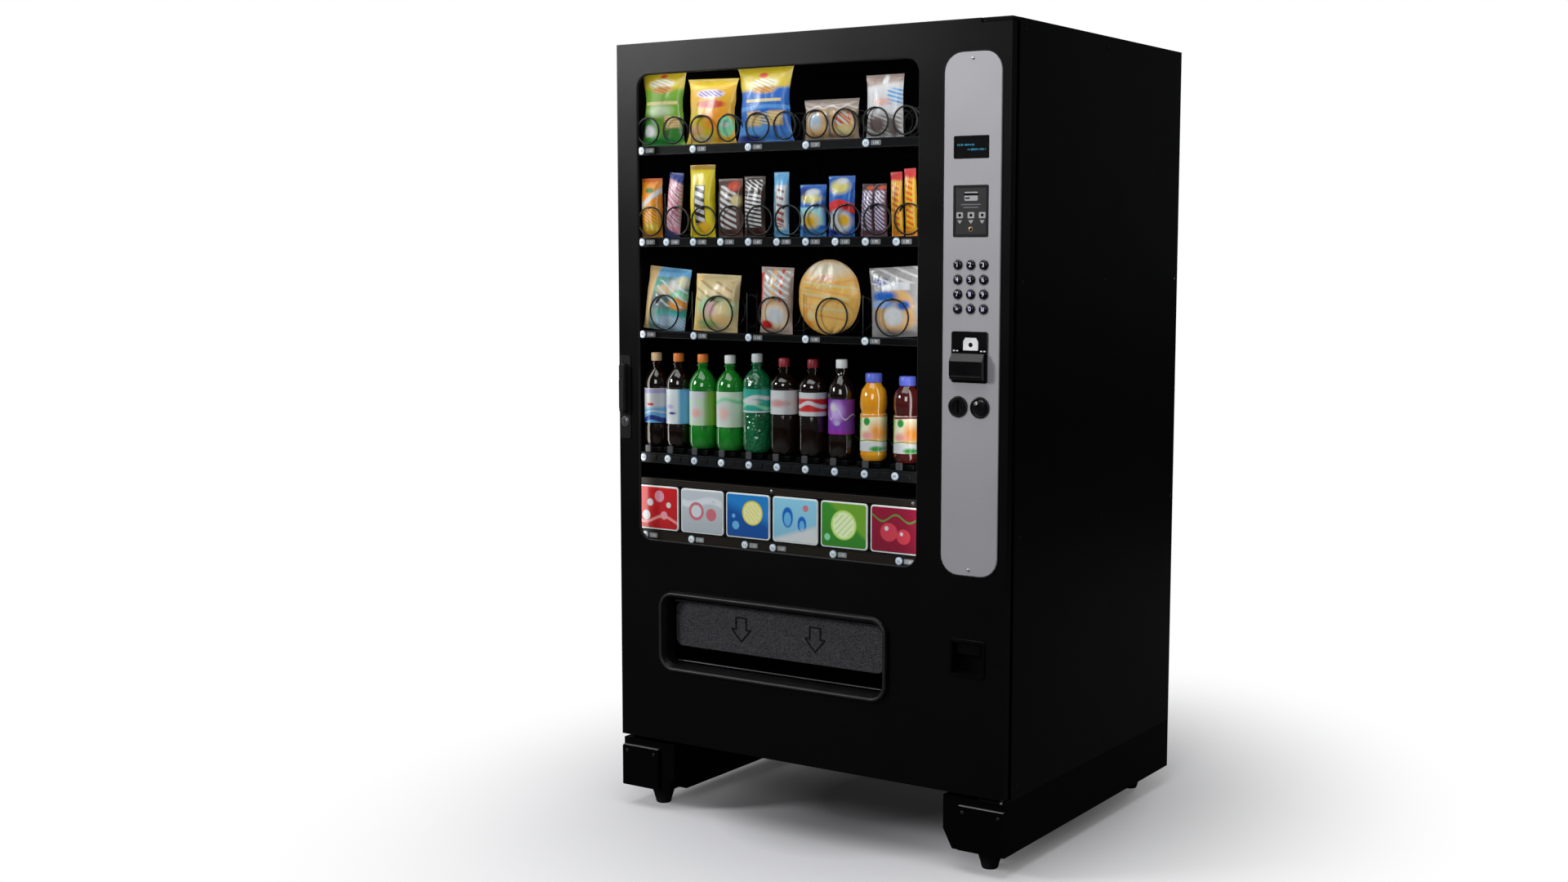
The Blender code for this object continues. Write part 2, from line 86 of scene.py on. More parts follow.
def node(tree, kind, ins=(), out=0, **props):
    """New shader node with its inputs set or linked; gives back one of its outputs."""
    made = tree.nodes.new("ShaderNode" + kind)
    for key, value in props.items():
        setattr(made, key, value)
    for key, value in ins.items() if isinstance(ins, dict) else enumerate(ins):
        if isinstance(value, bpy.types.NodeSocket):
            tree.links.new(value, made.inputs[key])
        elif value is not None:
            made.inputs[key].default_value = value
    return made.outputs[out]


# The camera sees a white surround; everything else sees a dim one.
world = bpy.data.worlds.new("world")
world.use_nodes = True
wt = world.node_tree
dim = wt.nodes["Background"]
dim.inputs[0].default_value = (0.95, 0.97, 1, 1)
dim.inputs[1].default_value = 0.06
white = node(wt, "Background", ((1, 1, 1, 1), 1))
sky = node(wt, "MixShader", (node(wt, "LightPath"), dim.outputs[0], white))
wt.links.new(sky, wt.nodes["World Output"].inputs[0])
scene.world = world


def lamp(name, at, to, size, power, colour=(1, 1, 1), tall=None):
    """Soft rectangular lamp at one point that faces another."""
    data = bpy.data.lights.new(name, "AREA")
    data.shape = "RECTANGLE"
    data.size = size
    data.size_y = tall or size
    data.energy = power
    data.color = colour
    obj = bpy.data.objects.new(name, data)
    obj.location = at
    obj.rotation_euler = (Vector(to) - Vector(at)).to_track_quat("-Z", "Y").to_euler()
    obj.visible_camera = False
    scene.collection.objects.link(obj)


lamp("key_left", (-4.3, -4.7, 3.2), (-0.3, -0.4, 1.6), 1.3, 190)
lamp("front_soft", (1.7, -5, 2.4), (0, -0.4, 1.1), 1.8, 58)
lamp("overhead", (0, -1.4, 4.4), (0, -0.9, 0), 3.6, 105)
lamp("rear_soft", (0, 4.4, 1.15), (0, 0.4, 1), 0.95, 60, tall=1.3)
lamp("case_left", P(30, 20, 1170), P(330, 75, 1170), 0.03, 0.35, (1, 0.98, 0.95), 1.1)
lamp("case_right", P(838, 20, 1170), P(540, 75, 1170), 0.03, 0.45, (1, 0.98, 0.95), 1.1)
lamp("case_top", P(432, 16, 1742), P(432, 110, 1560), 0.76, 0.3, (1, 0.98, 0.95), 0.02)


# ------------------------------------------------------------------ materials
class Look:
    """One procedural material. Masks and coordinates are in millimetres of the piece's own space."""

    def __init__(self, name, colour=(0.5, 0.5, 0.5), rough=0.5, metal=0, **sockets):
        self.m = bpy.data.materials.new(name)
        self.m.use_nodes = True
        self.t = self.m.node_tree
        self.b = self.t.nodes["Principled BSDF"]
        self.b.inputs["Base Color"].default_value = (*colour, 1)
        self.b.inputs["Roughness"].default_value = rough
        self.b.inputs["Metallic"].default_value = metal
        for key, value in sockets.items():
            self.b.inputs[key.replace("_", " ")].default_value = value
        self.at = None

    def n(self, kind, ins=(), out=0, **props):
        return node(self.t, kind, ins, out, **props)

    def surface(self, shader):
        self.t.links.new(shader, self.t.nodes["Material Output"].inputs[0])
        return self

    def mm(self):
        if self.at is None:
            space = self.n("TexCoord", out=3)
            self.at = self.n("VectorMath", (space, (1000, 1000, 1000)), operation="MULTIPLY")
        return self.at

    def math(self, op, a, b=None, c=None):
        return self.n("Math", (a, b, c), operation=op)

    def grain(self, scale, detail=3, stretch=(1, 1, 1)):
        at = self.n("VectorMath", (self.mm(), stretch), operation="MULTIPLY")
        return self.n("TexNoise", {"Vector": at, "Scale": scale, "Detail": detail})

    def cells(self, scale, out=0):
        return self.n("TexVoronoi", {"Vector": self.mm(), "Scale": scale}, out)

    def remap(self, value, a, b, c=0, d=1):
        return self.n("MapRange", (value, a, b, c, d))

    def mix(self, mask, a, b):
        a = a if isinstance(a, bpy.types.NodeSocket) else (*a, 1)
        b = b if isinstance(b, bpy.types.NodeSocket) else (*b, 1)
        return self.n("Mix", {0: mask, 6: a, 7: b}, 2, data_type="RGBA")

    def ell(self, cx, cz, rx, rz, soft=0.3):
        off = self.n("VectorMath", (self.mm(), (cx, 0, cz)), operation="SUBTRACT")
        off = self.n("VectorMath", (off, (1 / rx, 0, 1 / rz)), operation="MULTIPLY")
        return self.remap(self.n("VectorMath", (off,), 1, operation="LENGTH"), 1 + soft, 1 - soft)

    def rect(self, x0, x1, z0, z1, soft=1):
        off = self.n("VectorMath", (self.mm(), ((x0 + x1) / 2, 0, (z0 + z1) / 2)), operation="SUBTRACT")
        off = self.n("VectorMath", (off,), operation="ABSOLUTE")
        half = ((x1 - x0) / 2, 0, (z1 - z0) / 2)
        parts = self.n("SeparateXYZ", (self.n("VectorMath", (off, half), operation="SUBTRACT"),)).node
        far = self.math("MAXIMUM", parts.outputs[0], parts.outputs[2])
        return self.remap(far, soft / 2, -soft / 2)

    def side(self, nx, nz, off, soft=1):
        """Half plane nx*x + nz*z > off."""
        dot = self.n("VectorMath", (self.mm(), (nx, 0, nz)), 1, operation="DOT_PRODUCT")
        return self.remap(dot, off - soft, off + soft)

    def swell(self, z, wide, amp, length, phase=0, soft=1):
        """A band of the given height that rises and falls across the piece."""
        parts = self.n("SeparateXYZ", (self.mm(),)).node
        wave = self.math("SINE", self.math("MULTIPLY_ADD", parts.outputs[0], TAU / length, phase))
        line = self.math("MULTIPLY_ADD", wave, amp, z)
        gap = self.math("ABSOLUTE", self.math("SUBTRACT", parts.outputs[2], line))
        return self.remap(gap, wide / 2 + soft, wide / 2 - soft)

    def marks(self, x0, x1, z0, z1, period, slant=0, duty=0):
        """Rows of slanted strokes inside a rectangle: a plain pattern, no lettering."""
        dot = self.n("VectorMath", (self.mm(), (slant, 0, 1)), 1, operation="DOT_PRODUCT")
        wave = self.math("SINE", self.math("MULTIPLY", dot, TAU / period))
        return self.math("MULTIPLY", self.remap(wave, duty - 0.25, duty + 0.25), self.rect(x0, x1, z0, z1))

    def paint(self, base, layers):
        """Stack of (mask kind, colour, *numbers) over a base colour."""
        now = base
        for kind, colour, *numbers in layers:
            now = self.mix(getattr(self, kind)(*numbers), now, colour)
        return now

    def colour(self, socket):
        self.t.links.new(socket, self.b.inputs["Base Color"])
        return self

    def rough(self, socket, lo, hi, a=0.3, b=0.7):
        self.t.links.new(self.remap(socket, a, b, lo, hi), self.b.inputs["Roughness"])
        return self

    def bump(self, height, strength=0.3, dist=0.0005):
        out = self.n("Bump", {"Height": height, "Strength": strength, "Distance": dist})
        self.t.links.new(out, self.b.inputs["Normal"])
        return self


def powder(name, colour, strength=0.35, spec=0.28):
    look = Look(name, colour, 0.42, Specular_IOR_Level=spec)
    fine = look.grain(0.55, 4)
    broad = look.grain(0.006, 3)
    worn = tuple(min(1, c * 1.6 + 0.0004) for c in colour)
    look.colour(look.mix(look.remap(fine, 0.45, 0.72), colour, worn))
    look.rough(broad, 0.29, 0.34)
    return look.bump(fine, strength, 0.0004)


def plastic(name, colour, rough=0.4, grain=0.9, strength=0.12, spec=0.4, **more):
    look = Look(name, colour, rough, Specular_IOR_Level=spec, **more)
    fine = look.grain(grain, 3)
    lift = tuple(min(1, c * 1.35 + 0.002) for c in colour)
    look.colour(look.mix(look.remap(look.grain(0.02, 2), 0.35, 0.7), colour, lift))
    look.rough(fine, rough - 0.06, rough + 0.08)
    return look.bump(fine, strength, 0.0002)


def metal(name, colour, rough=0.3, stretch=(1, 1, 0.02), strength=0.08, metallic=1):
    look = Look(name, colour, rough, metallic)
    lines = look.grain(0.9, 3, stretch)
    dark = tuple(c * 0.8 for c in colour)
    look.colour(look.mix(look.remap(lines, 0.35, 0.65), dark, colour))
    look.rough(lines, rough - 0.06, rough + 0.12)
    return look.bump(lines, strength, 0.0002)


BLACK = powder("powder_black", (0.0011, 0.0011, 0.0014), 0.35, 0.15)
CASE = powder("case_black", (0.002, 0.002, 0.0022), 0.2, 0.08)
SKID = powder("skid_black", (0.0012, 0.0012, 0.0014), 0.3, 0.06)
SATIN = plastic("satin_black", (0.006, 0.006, 0.0065), 0.36, spec=0.3)
MOULD = plastic("moulded_black", (0.0025, 0.0025, 0.003), 0.36, spec=0.2)
GLOSS = plastic("gloss_black", (0.003, 0.003, 0.0035), 0.16, 1.2, 0.05, 0.4)
RUBBER = plastic("rubber_black", (0.007, 0.007, 0.007), 0.6, 0.5, 0.3, 0.25)
RAIL = powder("rail_black", (0.0025, 0.0025, 0.003), 0.3, 0.08)
RAIL_GREY = powder("rail_grey", (0.011, 0.011, 0.012), 0.3, 0.14)
RAIL_BROWN = powder("rail_brown", (0.018, 0.014, 0.011), 0.3, 0.14)
LINER = powder("liner_black", (0.0012, 0.0012, 0.0014), 0.2, 0.04)
WIRE = metal("coil_wire", (0.018, 0.018, 0.02), 0.3, (1, 1, 1), 0.05, 0.5)
ZINC = metal("zinc_plate", (0.55, 0.56, 0.58), 0.32, (1, 1, 1), 0.1)
CHROME = metal("lock_chrome", (0.62, 0.62, 0.64), 0.2, (1, 1, 1), 0.03)
WHITE = plastic("label_white", (0.8, 0.84, 0.95), 0.35, 0.9, 0.05)
RING = plastic("label_blue", (0.33, 0.45, 0.62), 0.35, 0.9, 0.05)
TAG = plastic("tag_grey", (0.14, 0.14, 0.155), 0.4, 0.9, 0.08)
TAG_PALE = plastic("tag_pale", (0.26, 0.26, 0.27), 0.4, 0.9, 0.08)
INK = plastic("ink_dark", (0.02, 0.02, 0.025), 0.5, 0.9, 0.03)
PALE = plastic("ink_pale", (0.75, 0.76, 0.8), 0.45, 0.9, 0.03)


def galvanised():
    look = Look("galvanised_sheet", (0.42, 0.43, 0.45), 0.4, 0.85)
    spangle = look.cells(0.11, 1)
    tone = look.n("SeparateColor", (spangle,))
    look.colour(look.mix(tone, (0.4, 0.41, 0.43), (0.47, 0.48, 0.5)))
    look.rough(tone, 0.42, 0.5, 0, 1)
    return look.bump(look.grain(0.3, 3), 0.1, 0.0003)


def silver_panel():
    look = Look("silver_panel", (0.4, 0.39, 0.42), 0.46, 0.35, Specular_IOR_Level=0.35)
    flake = look.cells(1.6, 1)
    tone = look.n("SeparateColor", (flake,))
    base = look.mix(look.remap(look.grain(0.004, 2), 0.3, 0.7), (0.43, 0.42, 0.45), (0.375, 0.37, 0.395))
    look.colour(look.mix(look.remap(tone, 0.2, 1, 0, 0.35), base, (0.52, 0.51, 0.54)))
    look.rough(look.grain(0.5, 2), 0.4, 0.52)
    return look.bump(look.grain(0.7, 3), 0.1, 0.0002)


def pebbled():
    look = Look("flap_pebble", (0.05, 0.05, 0.055), 0.5, Specular_IOR_Level=0.5)
    stone = look.cells(0.42)
    tone = look.n("SeparateColor", (look.cells(0.42, 1),))
    look.colour(look.mix(look.remap(tone, 0.1, 0.9), (0.006, 0.006, 0.008), (0.046, 0.046, 0.054)))
    look.rough(look.grain(0.4, 2), 0.38, 0.6)
    return look.bump(look.math("SUBTRACT", 1, stone), 0.7, 0.0008)


def window():
    """Clear pane: straight-through light with a little gloss on top."""
    look = Look("window_pane", (1, 1, 1), 0.05)
    clear = look.n("BsdfTransparent", ((0.97, 0.985, 0.98, 1),))
    edge = look.n("LayerWeight", (0.5,), 1)
    shine = look.math("MULTIPLY_ADD", look.math("POWER", edge, 4), 0.5, 0.008)
    smear = look.bump(look.grain(0.004, 2), 0.02, 0.0005).b.inputs["Normal"].links[0].from_socket
    gloss = look.n("BsdfGlossy", {0: (0.5, 0.5, 0.52, 1), "Roughness": 0.06, "Normal": smear})
    return look.surface(look.n("MixShader", (shine, clear, gloss)))


def glow(name, colour, power):
    look = Look(name, (0.01, 0.02, 0.02), 0.3, Emission_Strength=power)
    look.b.inputs["Emission Color"].default_value = (*colour, 1)
    look.rough(look.grain(0.5, 2), 0.25, 0.35)
    return look


GALV = galvanised()
SILVER = silver_panel()
FLAP = pebbled()
PANE = window()
CYAN = glow("display_cyan", (0.03, 0.3, 0.55), 0.7)
# Lighter than the rail: painted highlights on the rail edges, and also the plain colour of the fourth tray's
# blocks.
RAIL_EDGE = powder("rail_edge", (0.008, 0.008, 0.009), 0.2, 0.2)
EDGE_GREY = metal("divider_edge", (0.1, 0.1, 0.11), 0.35, (1, 1, 1), 0.05, 0.5)
FIGURE = glow("key_figure", (0.62, 0.6, 0.95), 0.35)
FIGURE.b.inputs["Base Color"].default_value = (0.72, 0.7, 0.95, 1)
SILVER_EDGE = metal("silver_edge", (0.42, 0.42, 0.45), 0.3, (1, 1, 1), 0.05, 0.7)
ICON = plastic("icon_grey", (0.36, 0.35, 0.36), 0.45, 0.9, 0.03)
COIN = metal("icon_gold", (0.62, 0.42, 0.2), 0.3, (1, 1, 1), 0.05, 0.6)
CARD = plastic("card_face", (0.013, 0.0125, 0.0125), 0.45, 0.9, 0.05)
SATIN_RIM = plastic("satin_rim", (0.012, 0.012, 0.013), 0.4, spec=0.3)
# Light grey strip colour: painted highlights along the skid covers' top edges.
EDGE_HIGHLIGHT = metal("edge_highlight", (0.3, 0.3, 0.32), 0.35, (1, 1, 1), 0.05, 0.5)
WIRE_BRIGHT = metal("guard_wire", (0.42, 0.42, 0.44), 0.35, (1, 1, 1), 0.05, 0.9)


# ------------------------------------------------------------------ mesh helpers
class Mesh:
    """Collects parts (points, faces) into one piece, each with the index of its look."""

    def __init__(self):
        self.v, self.f, self.k = [], [], []

    def add(self, part, k=0):
        verts, faces = part
        base = len(self.v)
        self.v += verts
        self.f += [tuple(base + i for i in f) for f in faces]
        self.k += [k] * len(faces)
        return self

    def make(self, name, body, looks, slot, origin=(0, 0, 0), smooth=35, rot=(0, 0, 0)):
        mesh = bpy.data.meshes.new(name)
        mesh.from_pydata([tuple(v) for v in self.v], [], self.f)
        for look in looks:
            mesh.materials.append(look.m)
        for poly, k in zip(mesh.polygons, self.k):
            poly.material_index = k
            poly.use_smooth = True
        obj = bpy.data.objects.new(name, mesh)
        scene.collection.objects.link(obj)
        obj.location = origin
        obj.rotation_euler = rot
        mesh.validate()
        crisp_edges(mesh, smooth)
        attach(obj, body)
        return obj


def crisp_edges(mesh, angle):
    """Consistent outward faces, and edges sharper than the angle stay crisp."""
    bm = bmesh.new()
    bm.from_mesh(mesh)
    bmesh.ops.recalc_face_normals(bm, faces=bm.faces)
    limit = math.radians(angle)
    for e in bm.edges:
        e.smooth = not (len(e.link_faces) == 2 and e.calc_face_angle(0) > limit)
    bm.to_mesh(mesh)
    bm.free()


def loft(loops, ring=False):
    """Skin over equal loops of points, closed at both ends or into a ring."""
    n = len(loops[0])
    verts = [p for loop in loops for p in loop]
    count = len(loops)
    faces = []
    for k in range(count if ring else count - 1):
        a, b = k * n, ((k + 1) % count) * n
        faces += [(a + i, a + (i + 1) % n, b + (i + 1) % n, b + i) for i in range(n)]
    if not ring:
        faces += [tuple(range(n)), tuple(range((count - 1) * n, count * n))]
    return verts, faces


def rr(x0, x1, z0, z1, r, d, grow=0, seg=5):
    """Rounded rectangle loop at one depth, world metres."""
    x0, x1, z0, z1 = x0 - grow, x1 + grow, z0 - grow, z1 + grow
    r = max(r + grow, 0.3)
    out = []
    left, right, low, high = x0 + r, x1 - r, z0 + r, z1 - r
    for quarter, (cx, cz) in enumerate(((right, high), (left, high), (left, low), (right, low))):
        for i in range(seg + 1):
            a = math.radians(90 * quarter + 90 * i / seg)
            out.append(P(cx + r * math.cos(a), d, cz + r * math.sin(a)))
    return out


def slab(shape, d0, d1, ease=0.6, seg=4):
    """Plate facing the front with eased front edges."""
    return loft([rr(*shape, d1, 0, seg), rr(*shape, d0 + ease, 0, seg), rr(*shape, d0, -ease, seg)])


def steps(n):
    """Cosine and sine of n even steps round a circle."""
    return [(math.cos(TAU * i / n), math.sin(TAU * i / n)) for i in range(n)]


def circle(cx, cz, r, d, n=24):
    return [P(cx + r * c, d, cz + r * s) for c, s in steps(n)]


def disc(cx, cz, profile, n=24):
    return loft([circle(cx, cz, r, d, n) for r, d in profile])


def stud(cx, d, profile, n):
    """Turned piece with an upright axis; the profile is (radius, height)."""
    return loft([[P(cx + r * c, d + r * s, h) for c, s in steps(n)] for r, h in profile])


def rim(shape, profile, seg):
    """Closed moulding round a rounded rectangle; the profile is (depth, growth)."""
    return loft([rr(*shape, d, g, seg) for d, g in profile], ring=True)


def collar(cx, cz, profile, n):
    """Closed moulding round a circle; the profile is (radius, depth)."""
    return loft([circle(cx, cz, r, d, n) for r, d in profile], ring=True)


def tube(points, r, n=8, closed=False):
    """Round bar swept along points (metres)."""
    pts = [Vector(p) for p in points]
    loops = []
    side = None
    count = len(pts)
    for i, p in enumerate(pts):
        a = pts[i - 1] if i or closed else p
        b = pts[(i + 1) % count] if i < count - 1 or closed else p
        t = (b - a).normalized()
        if side is None:
            side = t.orthogonal().normalized()
        side = (side - t * side.dot(t)).normalized()
        up = t.cross(side)
        loops.append([p + (side * math.cos(TAU * k / n) + up * math.sin(TAU * k / n)) * r for k in range(n)])
    return loft(loops, closed)


def figure(text, size):
    """Flat outline of figures, centred, in millimetres."""
    curve = bpy.data.curves.new("fig", "FONT")
    curve.body = text
    curve.size = size
    curve.align_x = "CENTER"
    curve.align_y = "CENTER"
    curve.resolution_u = 3
    obj = bpy.data.objects.new("fig", curve)
    scene.collection.objects.link(obj)
    bpy.context.view_layer.update()
    mesh = bpy.data.meshes.new_from_object(obj.evaluated_get(bpy.context.evaluated_depsgraph_get()))
    verts = [(v.co.x, v.co.y) for v in mesh.vertices]
    faces = [tuple(p.vertices) for p in mesh.polygons]
    bpy.data.objects.remove(obj)
    bpy.data.meshes.remove(mesh)
    return verts, faces


def print_on(mesh, text, cx, cz, d, size, k):
    verts, faces = figure(text, size)
    mesh.add(([P(cx + x, d, cz + z) for x, z in verts], faces), k)


# ------------------------------------------------------------------ CAD nodes' finishes
FINISH = {
    BLACK: ("door_panel", "left_wall", "right_wall", "top_panel"),
    SKID: ("skid_left", "skid_right", "skid_cover_left", "skid_cover_right", "floor_panel"),
    LINER: ("partition_wall",),
    CASE: ("delivery_bin", "coin_return_cup", "hinge_bracket_bottom", "hinge_bracket_top"),
    MOULD: ("delivery_surround",),
    SATIN: ("lock_plate", "lock_handle", "keypad_frame", "coin_mechanism", "condenser_fan", "power_inlet",
            "info_card"),
    GLOSS: ("display_module", "coin_slot", "coin_return_button", "bill_validator",
            *(n for n in N if n.startswith("key_"))),
    RUBBER: ("door_gasket", *(n for n in N if n.startswith("foot_"))),
    RAIL: ("tray_1", "tray_2", "tray_3", "picture_panel"),
    RAIL_GREY: ("tray_4",),
    RAIL_BROWN: ("tray_5",),
    WIRE: ("coil_1_left", "coil_1_right", "coil_2", "coil_3"),
    CHROME: ("lock_cylinder",),
    ZINC: ("latch_bar",),
    GALV: ("back_panel", "refrigeration_unit"),
    SILVER: ("control_panel",),
    FLAP: ("delivery_flap",),
    PANE: ("window_glass",),
}
for look, names in FINISH.items():
    for name in names:
        N[name].data.materials.clear()
        N[name].data.materials.append(look.m)
for name in ("left_wall", "right_wall", "top_panel", "skid_left", "skid_right", "skid_cover_left",
        "skid_cover_right"):
    mod = N[name].modifiers.new("eased_edges", "BEVEL")
    mod.width = 0.0012
    mod.segments = 2
    mod.limit_method = "ANGLE"


# ------------------------------------------------------------------ floor
def floor():
    """Pale ground with a painted shadow, its colour darkening towards the machine, that fades into the white
    surround; rays other than the camera's see it dark.
    """
    look = Look("floor_pale", (0.8, 0.8, 0.83), 0.8, Specular_IOR_Level=0)
    look.bump(look.grain(0.01, 2), 0.02, 0.0005)
    wide = look.n("VectorMath", (look.n("TexCoord", out=3), (1.35, 1, 1)), operation="MULTIPLY")
    away = look.n("VectorMath", (wide,), out=1, operation="LENGTH")
    # Painted shadow: the floor colour goes from pale to dark grey towards the machine's footprint.
    look.colour(look.mix(look.remap(away, 0.22, 0.56), (0.22, 0.22, 0.23), (0.8, 0.8, 0.83)))
    fade = look.n("MapRange", (away, 0.4, 1.85), interpolation_type="SMOOTHSTEP")
    near = look.n("MixShader", (fade, look.b.outputs[0], look.n("Emission")))
    dark = look.n("BsdfDiffuse", ((0.12, 0.12, 0.13, 1),))
    look.surface(look.n("MixShader", (look.n("LightPath"), dark, near)))
    mesh = bpy.data.meshes.new("floor")
    half = 30
    corners = [(-half, -half, 0), (half, -half, 0), (half, half, 0), (-half, half, 0)]
    mesh.from_pydata(corners, [], [(0, 1, 2, 3)])
    mesh.materials.append(look.m)
    obj = bpy.data.objects.new("floor", mesh)
    scene.collection.objects.link(obj)


floor()


# ------------------------------------------------------------------ tray fronts: number discs and price tags
TRAY_ROWS = {}
for k in range(1, 6):
    lo, hi = span("tray_%d" % k)
    TRAY_ROWS[k] = (lo[0], hi[0], lo[1], lo[2])
# Height of each tray's front rail, and the places of the number discs on it.
RAIL_H = {1: 21.2, 2: 22.3, 3: 17.2, 4: 24.3, 5: 25.3}
FIRST_DISC = 42
NEXT_DISC = SHELF_LEFT + 13.8
WIDE = [FIRST_DISC] + [NEXT_DISC + WIDE_PITCH * i for i in range(1, 5)]
SLIM = [FIRST_DISC] + [NEXT_DISC + SLIM_PITCH * i for i in range(1, 10)]
LOW = [46, 186.2, 343, 423, 590, 764.6]


def tray_front(k, places, tag_w, blocks=False):
    """Rail edges made lighter than the rail as painted highlights, number discs and price tags, or plain
    blocks, on one tray's front.
    """
    x0, x1, front, low = TRAY_ROWS[k]
    high = low + RAIL_H[k]
    mid = low + RAIL_H[k] / 2
    m = Mesh()
    # Lighter strips along the rail's top and bottom edges: painted highlights.
    m.add(slab((x0 + 2, x1 - 2, high - 2.2, high - 0.6, 0.5), front - 1, front + 0.2, 0.3, 1), 3)
    m.add(slab((x0 + 2, x1 - 2, low + 0.8, low + 2.2, 0.5), front - 0.8, front + 0.2, 0.3, 1), 3)
    for i, x in enumerate(places):
        m.add(disc(x, mid, ((9.2, front + 0.1), (9.2, front - 1.6), (8.6, front - 2.2)), 28), 1)
        m.add(disc(x, mid, ((7.6, front - 2), (7.6, front - 2.6), (7.2, front - 2.8)), 28))
        print_on(m, "%d%d" % (k, i % 10), x, mid, front - 2.95, 8.5, 2)
        a = x + 13
        tag = slab((a, a + tag_w, mid - 5.8, mid + 5.8, 2.2), front - 2, front + 0.1, 0.5, 3)
        if blocks:
            m.add(tag, 3)
            a = x + 46
            m.add(slab((a, a + 20, mid - 6.5, mid + 6.5, 1.5), front - 1.6, front + 0.1, 0.5, 2), 3)
        else:
            m.add(tag, 4)
            print_on(m, "1.%d0" % ((i * 3 + k) % 9 + 1), a + tag_w / 2, mid, front - 2.2, 9, 5)
    paper = TAG_PALE if k == 5 else TAG
    m.make("labels_tray_%d" % k, "tray_%d" % k, [WHITE, RING, INK, RAIL_EDGE, paper, PALE], "tray_black",
           smooth=30)


for k, places in enumerate((WIDE, SLIM, WIDE, SLIM, LOW), 1):
    tray_front(k, places, 24 if k == 5 else 26, k == 4)


# ------------------------------------------------------------------ coils
def helix(row, cx, hand=1, d0=43, wire=2.2, flat=6):
    """Wire coil whose first turn lies almost flat, as vend coils end."""
    cz, r, turns, pitch = COILS[row]
    pts = []
    per = 26
    for i in range(turns * per + 1):
        t = i / per
        a = math.pi / 2 + hand * TAU * t
        d = d0 + flat * min(t, 1) + pitch * max(t - 1, 0)
        pts.append(P(cx + r * math.cos(a), d, cz + r * math.sin(a)))
    last = d0 + flat + pitch * (turns - 1)
    pts += [P(cx, last + 8, cz + r * 0.4), P(cx, last + 14, cz), P(cx, last + 34, cz)]
    return tube(pts, wire / 1000, 7)


def coil_pieces():
    """All coils: four stand for CAD nodes, the rest ride on their tray with the lane wires."""
    spare = {1: Mesh(), 2: Mesh(), 3: Mesh(), 4: Mesh()}
    known = {}
    for i in range(5):
        x = SHELF_LEFT + WIDE_PITCH * i
        for side, hand in ((34.6, 1), (110.6, -1)):
            known[(1, i, side)] = helix(1, x + side, hand)
        known[(3, i, 0)] = helix(3, x + WIDE_PITCH / 2)
    for i in range(10):
        known[(2, i, 0)] = helix(2, SHELF_LEFT + SLIM_PITCH * i + 40)
        known[(4, i, 0)] = helix(4, BOTTLE_X[i], 1, 112, 1.6, 1)
    named = {(1, 0, 34.6): "coil_1_left", (1, 0, 110.6): "coil_1_right",
             (2, 0, 0): "coil_2", (3, 0, 0): "coil_3"}
    for key, part in known.items():
        if key in named:
            node = named[key]
            obj = Mesh().add(part).make(node + "_wire", node, [WIRE], "steel", smooth=80)
            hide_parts(node)
        else:
            spare[key[0]].add(part)
    for row, count, tall in ((2, 10, 104), (3, 5, 94), (1, 5, 52)):
        z = FLOOR[row]
        for i in range(1, count):
            x = SHELF_LEFT + SHELF_WIDE / count * i
            spare[row].add(tube([P(x, 94.2, z), P(x, 94.2, z + tall)], 0.0009, 6))
            spare[row].add(slab((x - 0.5, x + 0.5, z, z + tall, 0.2), 52, 53.2, 0.2, 1), 1)
    for k, m in spare.items():
        m.make("coils_tray_%d" % k, "tray_%d" % k, [WIRE, EDGE_GREY], "steel", smooth=80)


coil_pieces()


# ------------------------------------------------------------------ packets
def film(name, base, layers, h, crimp=8, rough=0.3, wrinkle=0.5):
    """Printed packet film: art layers, some of which are painted highlights on the wrapped pastries, soft
    folds, and ribs along both seals.
    """
    look = Look(name, base, rough, Coat_Weight=0.28, Coat_Roughness=0.24)
    look.colour(look.paint(base, layers))
    folds = look.grain(0.035, 4, (1, 1, 0.55))
    parts = look.n("SeparateXYZ", (look.mm(),)).node
    ridge = look.math("SINE", look.math("MULTIPLY", parts.outputs[0], TAU / 2.4))
    ends = look.math("ADD", look.side(0, 1, h - crimp, 0.5), look.side(0, -1, -crimp, 0.5))
    look.rough(folds, rough - 0.08, rough + 0.14)
    height = look.math("MULTIPLY_ADD", look.math("MULTIPLY", ridge, ends), 0.12, folds)
    return look.bump(height, wrinkle, 0.006)


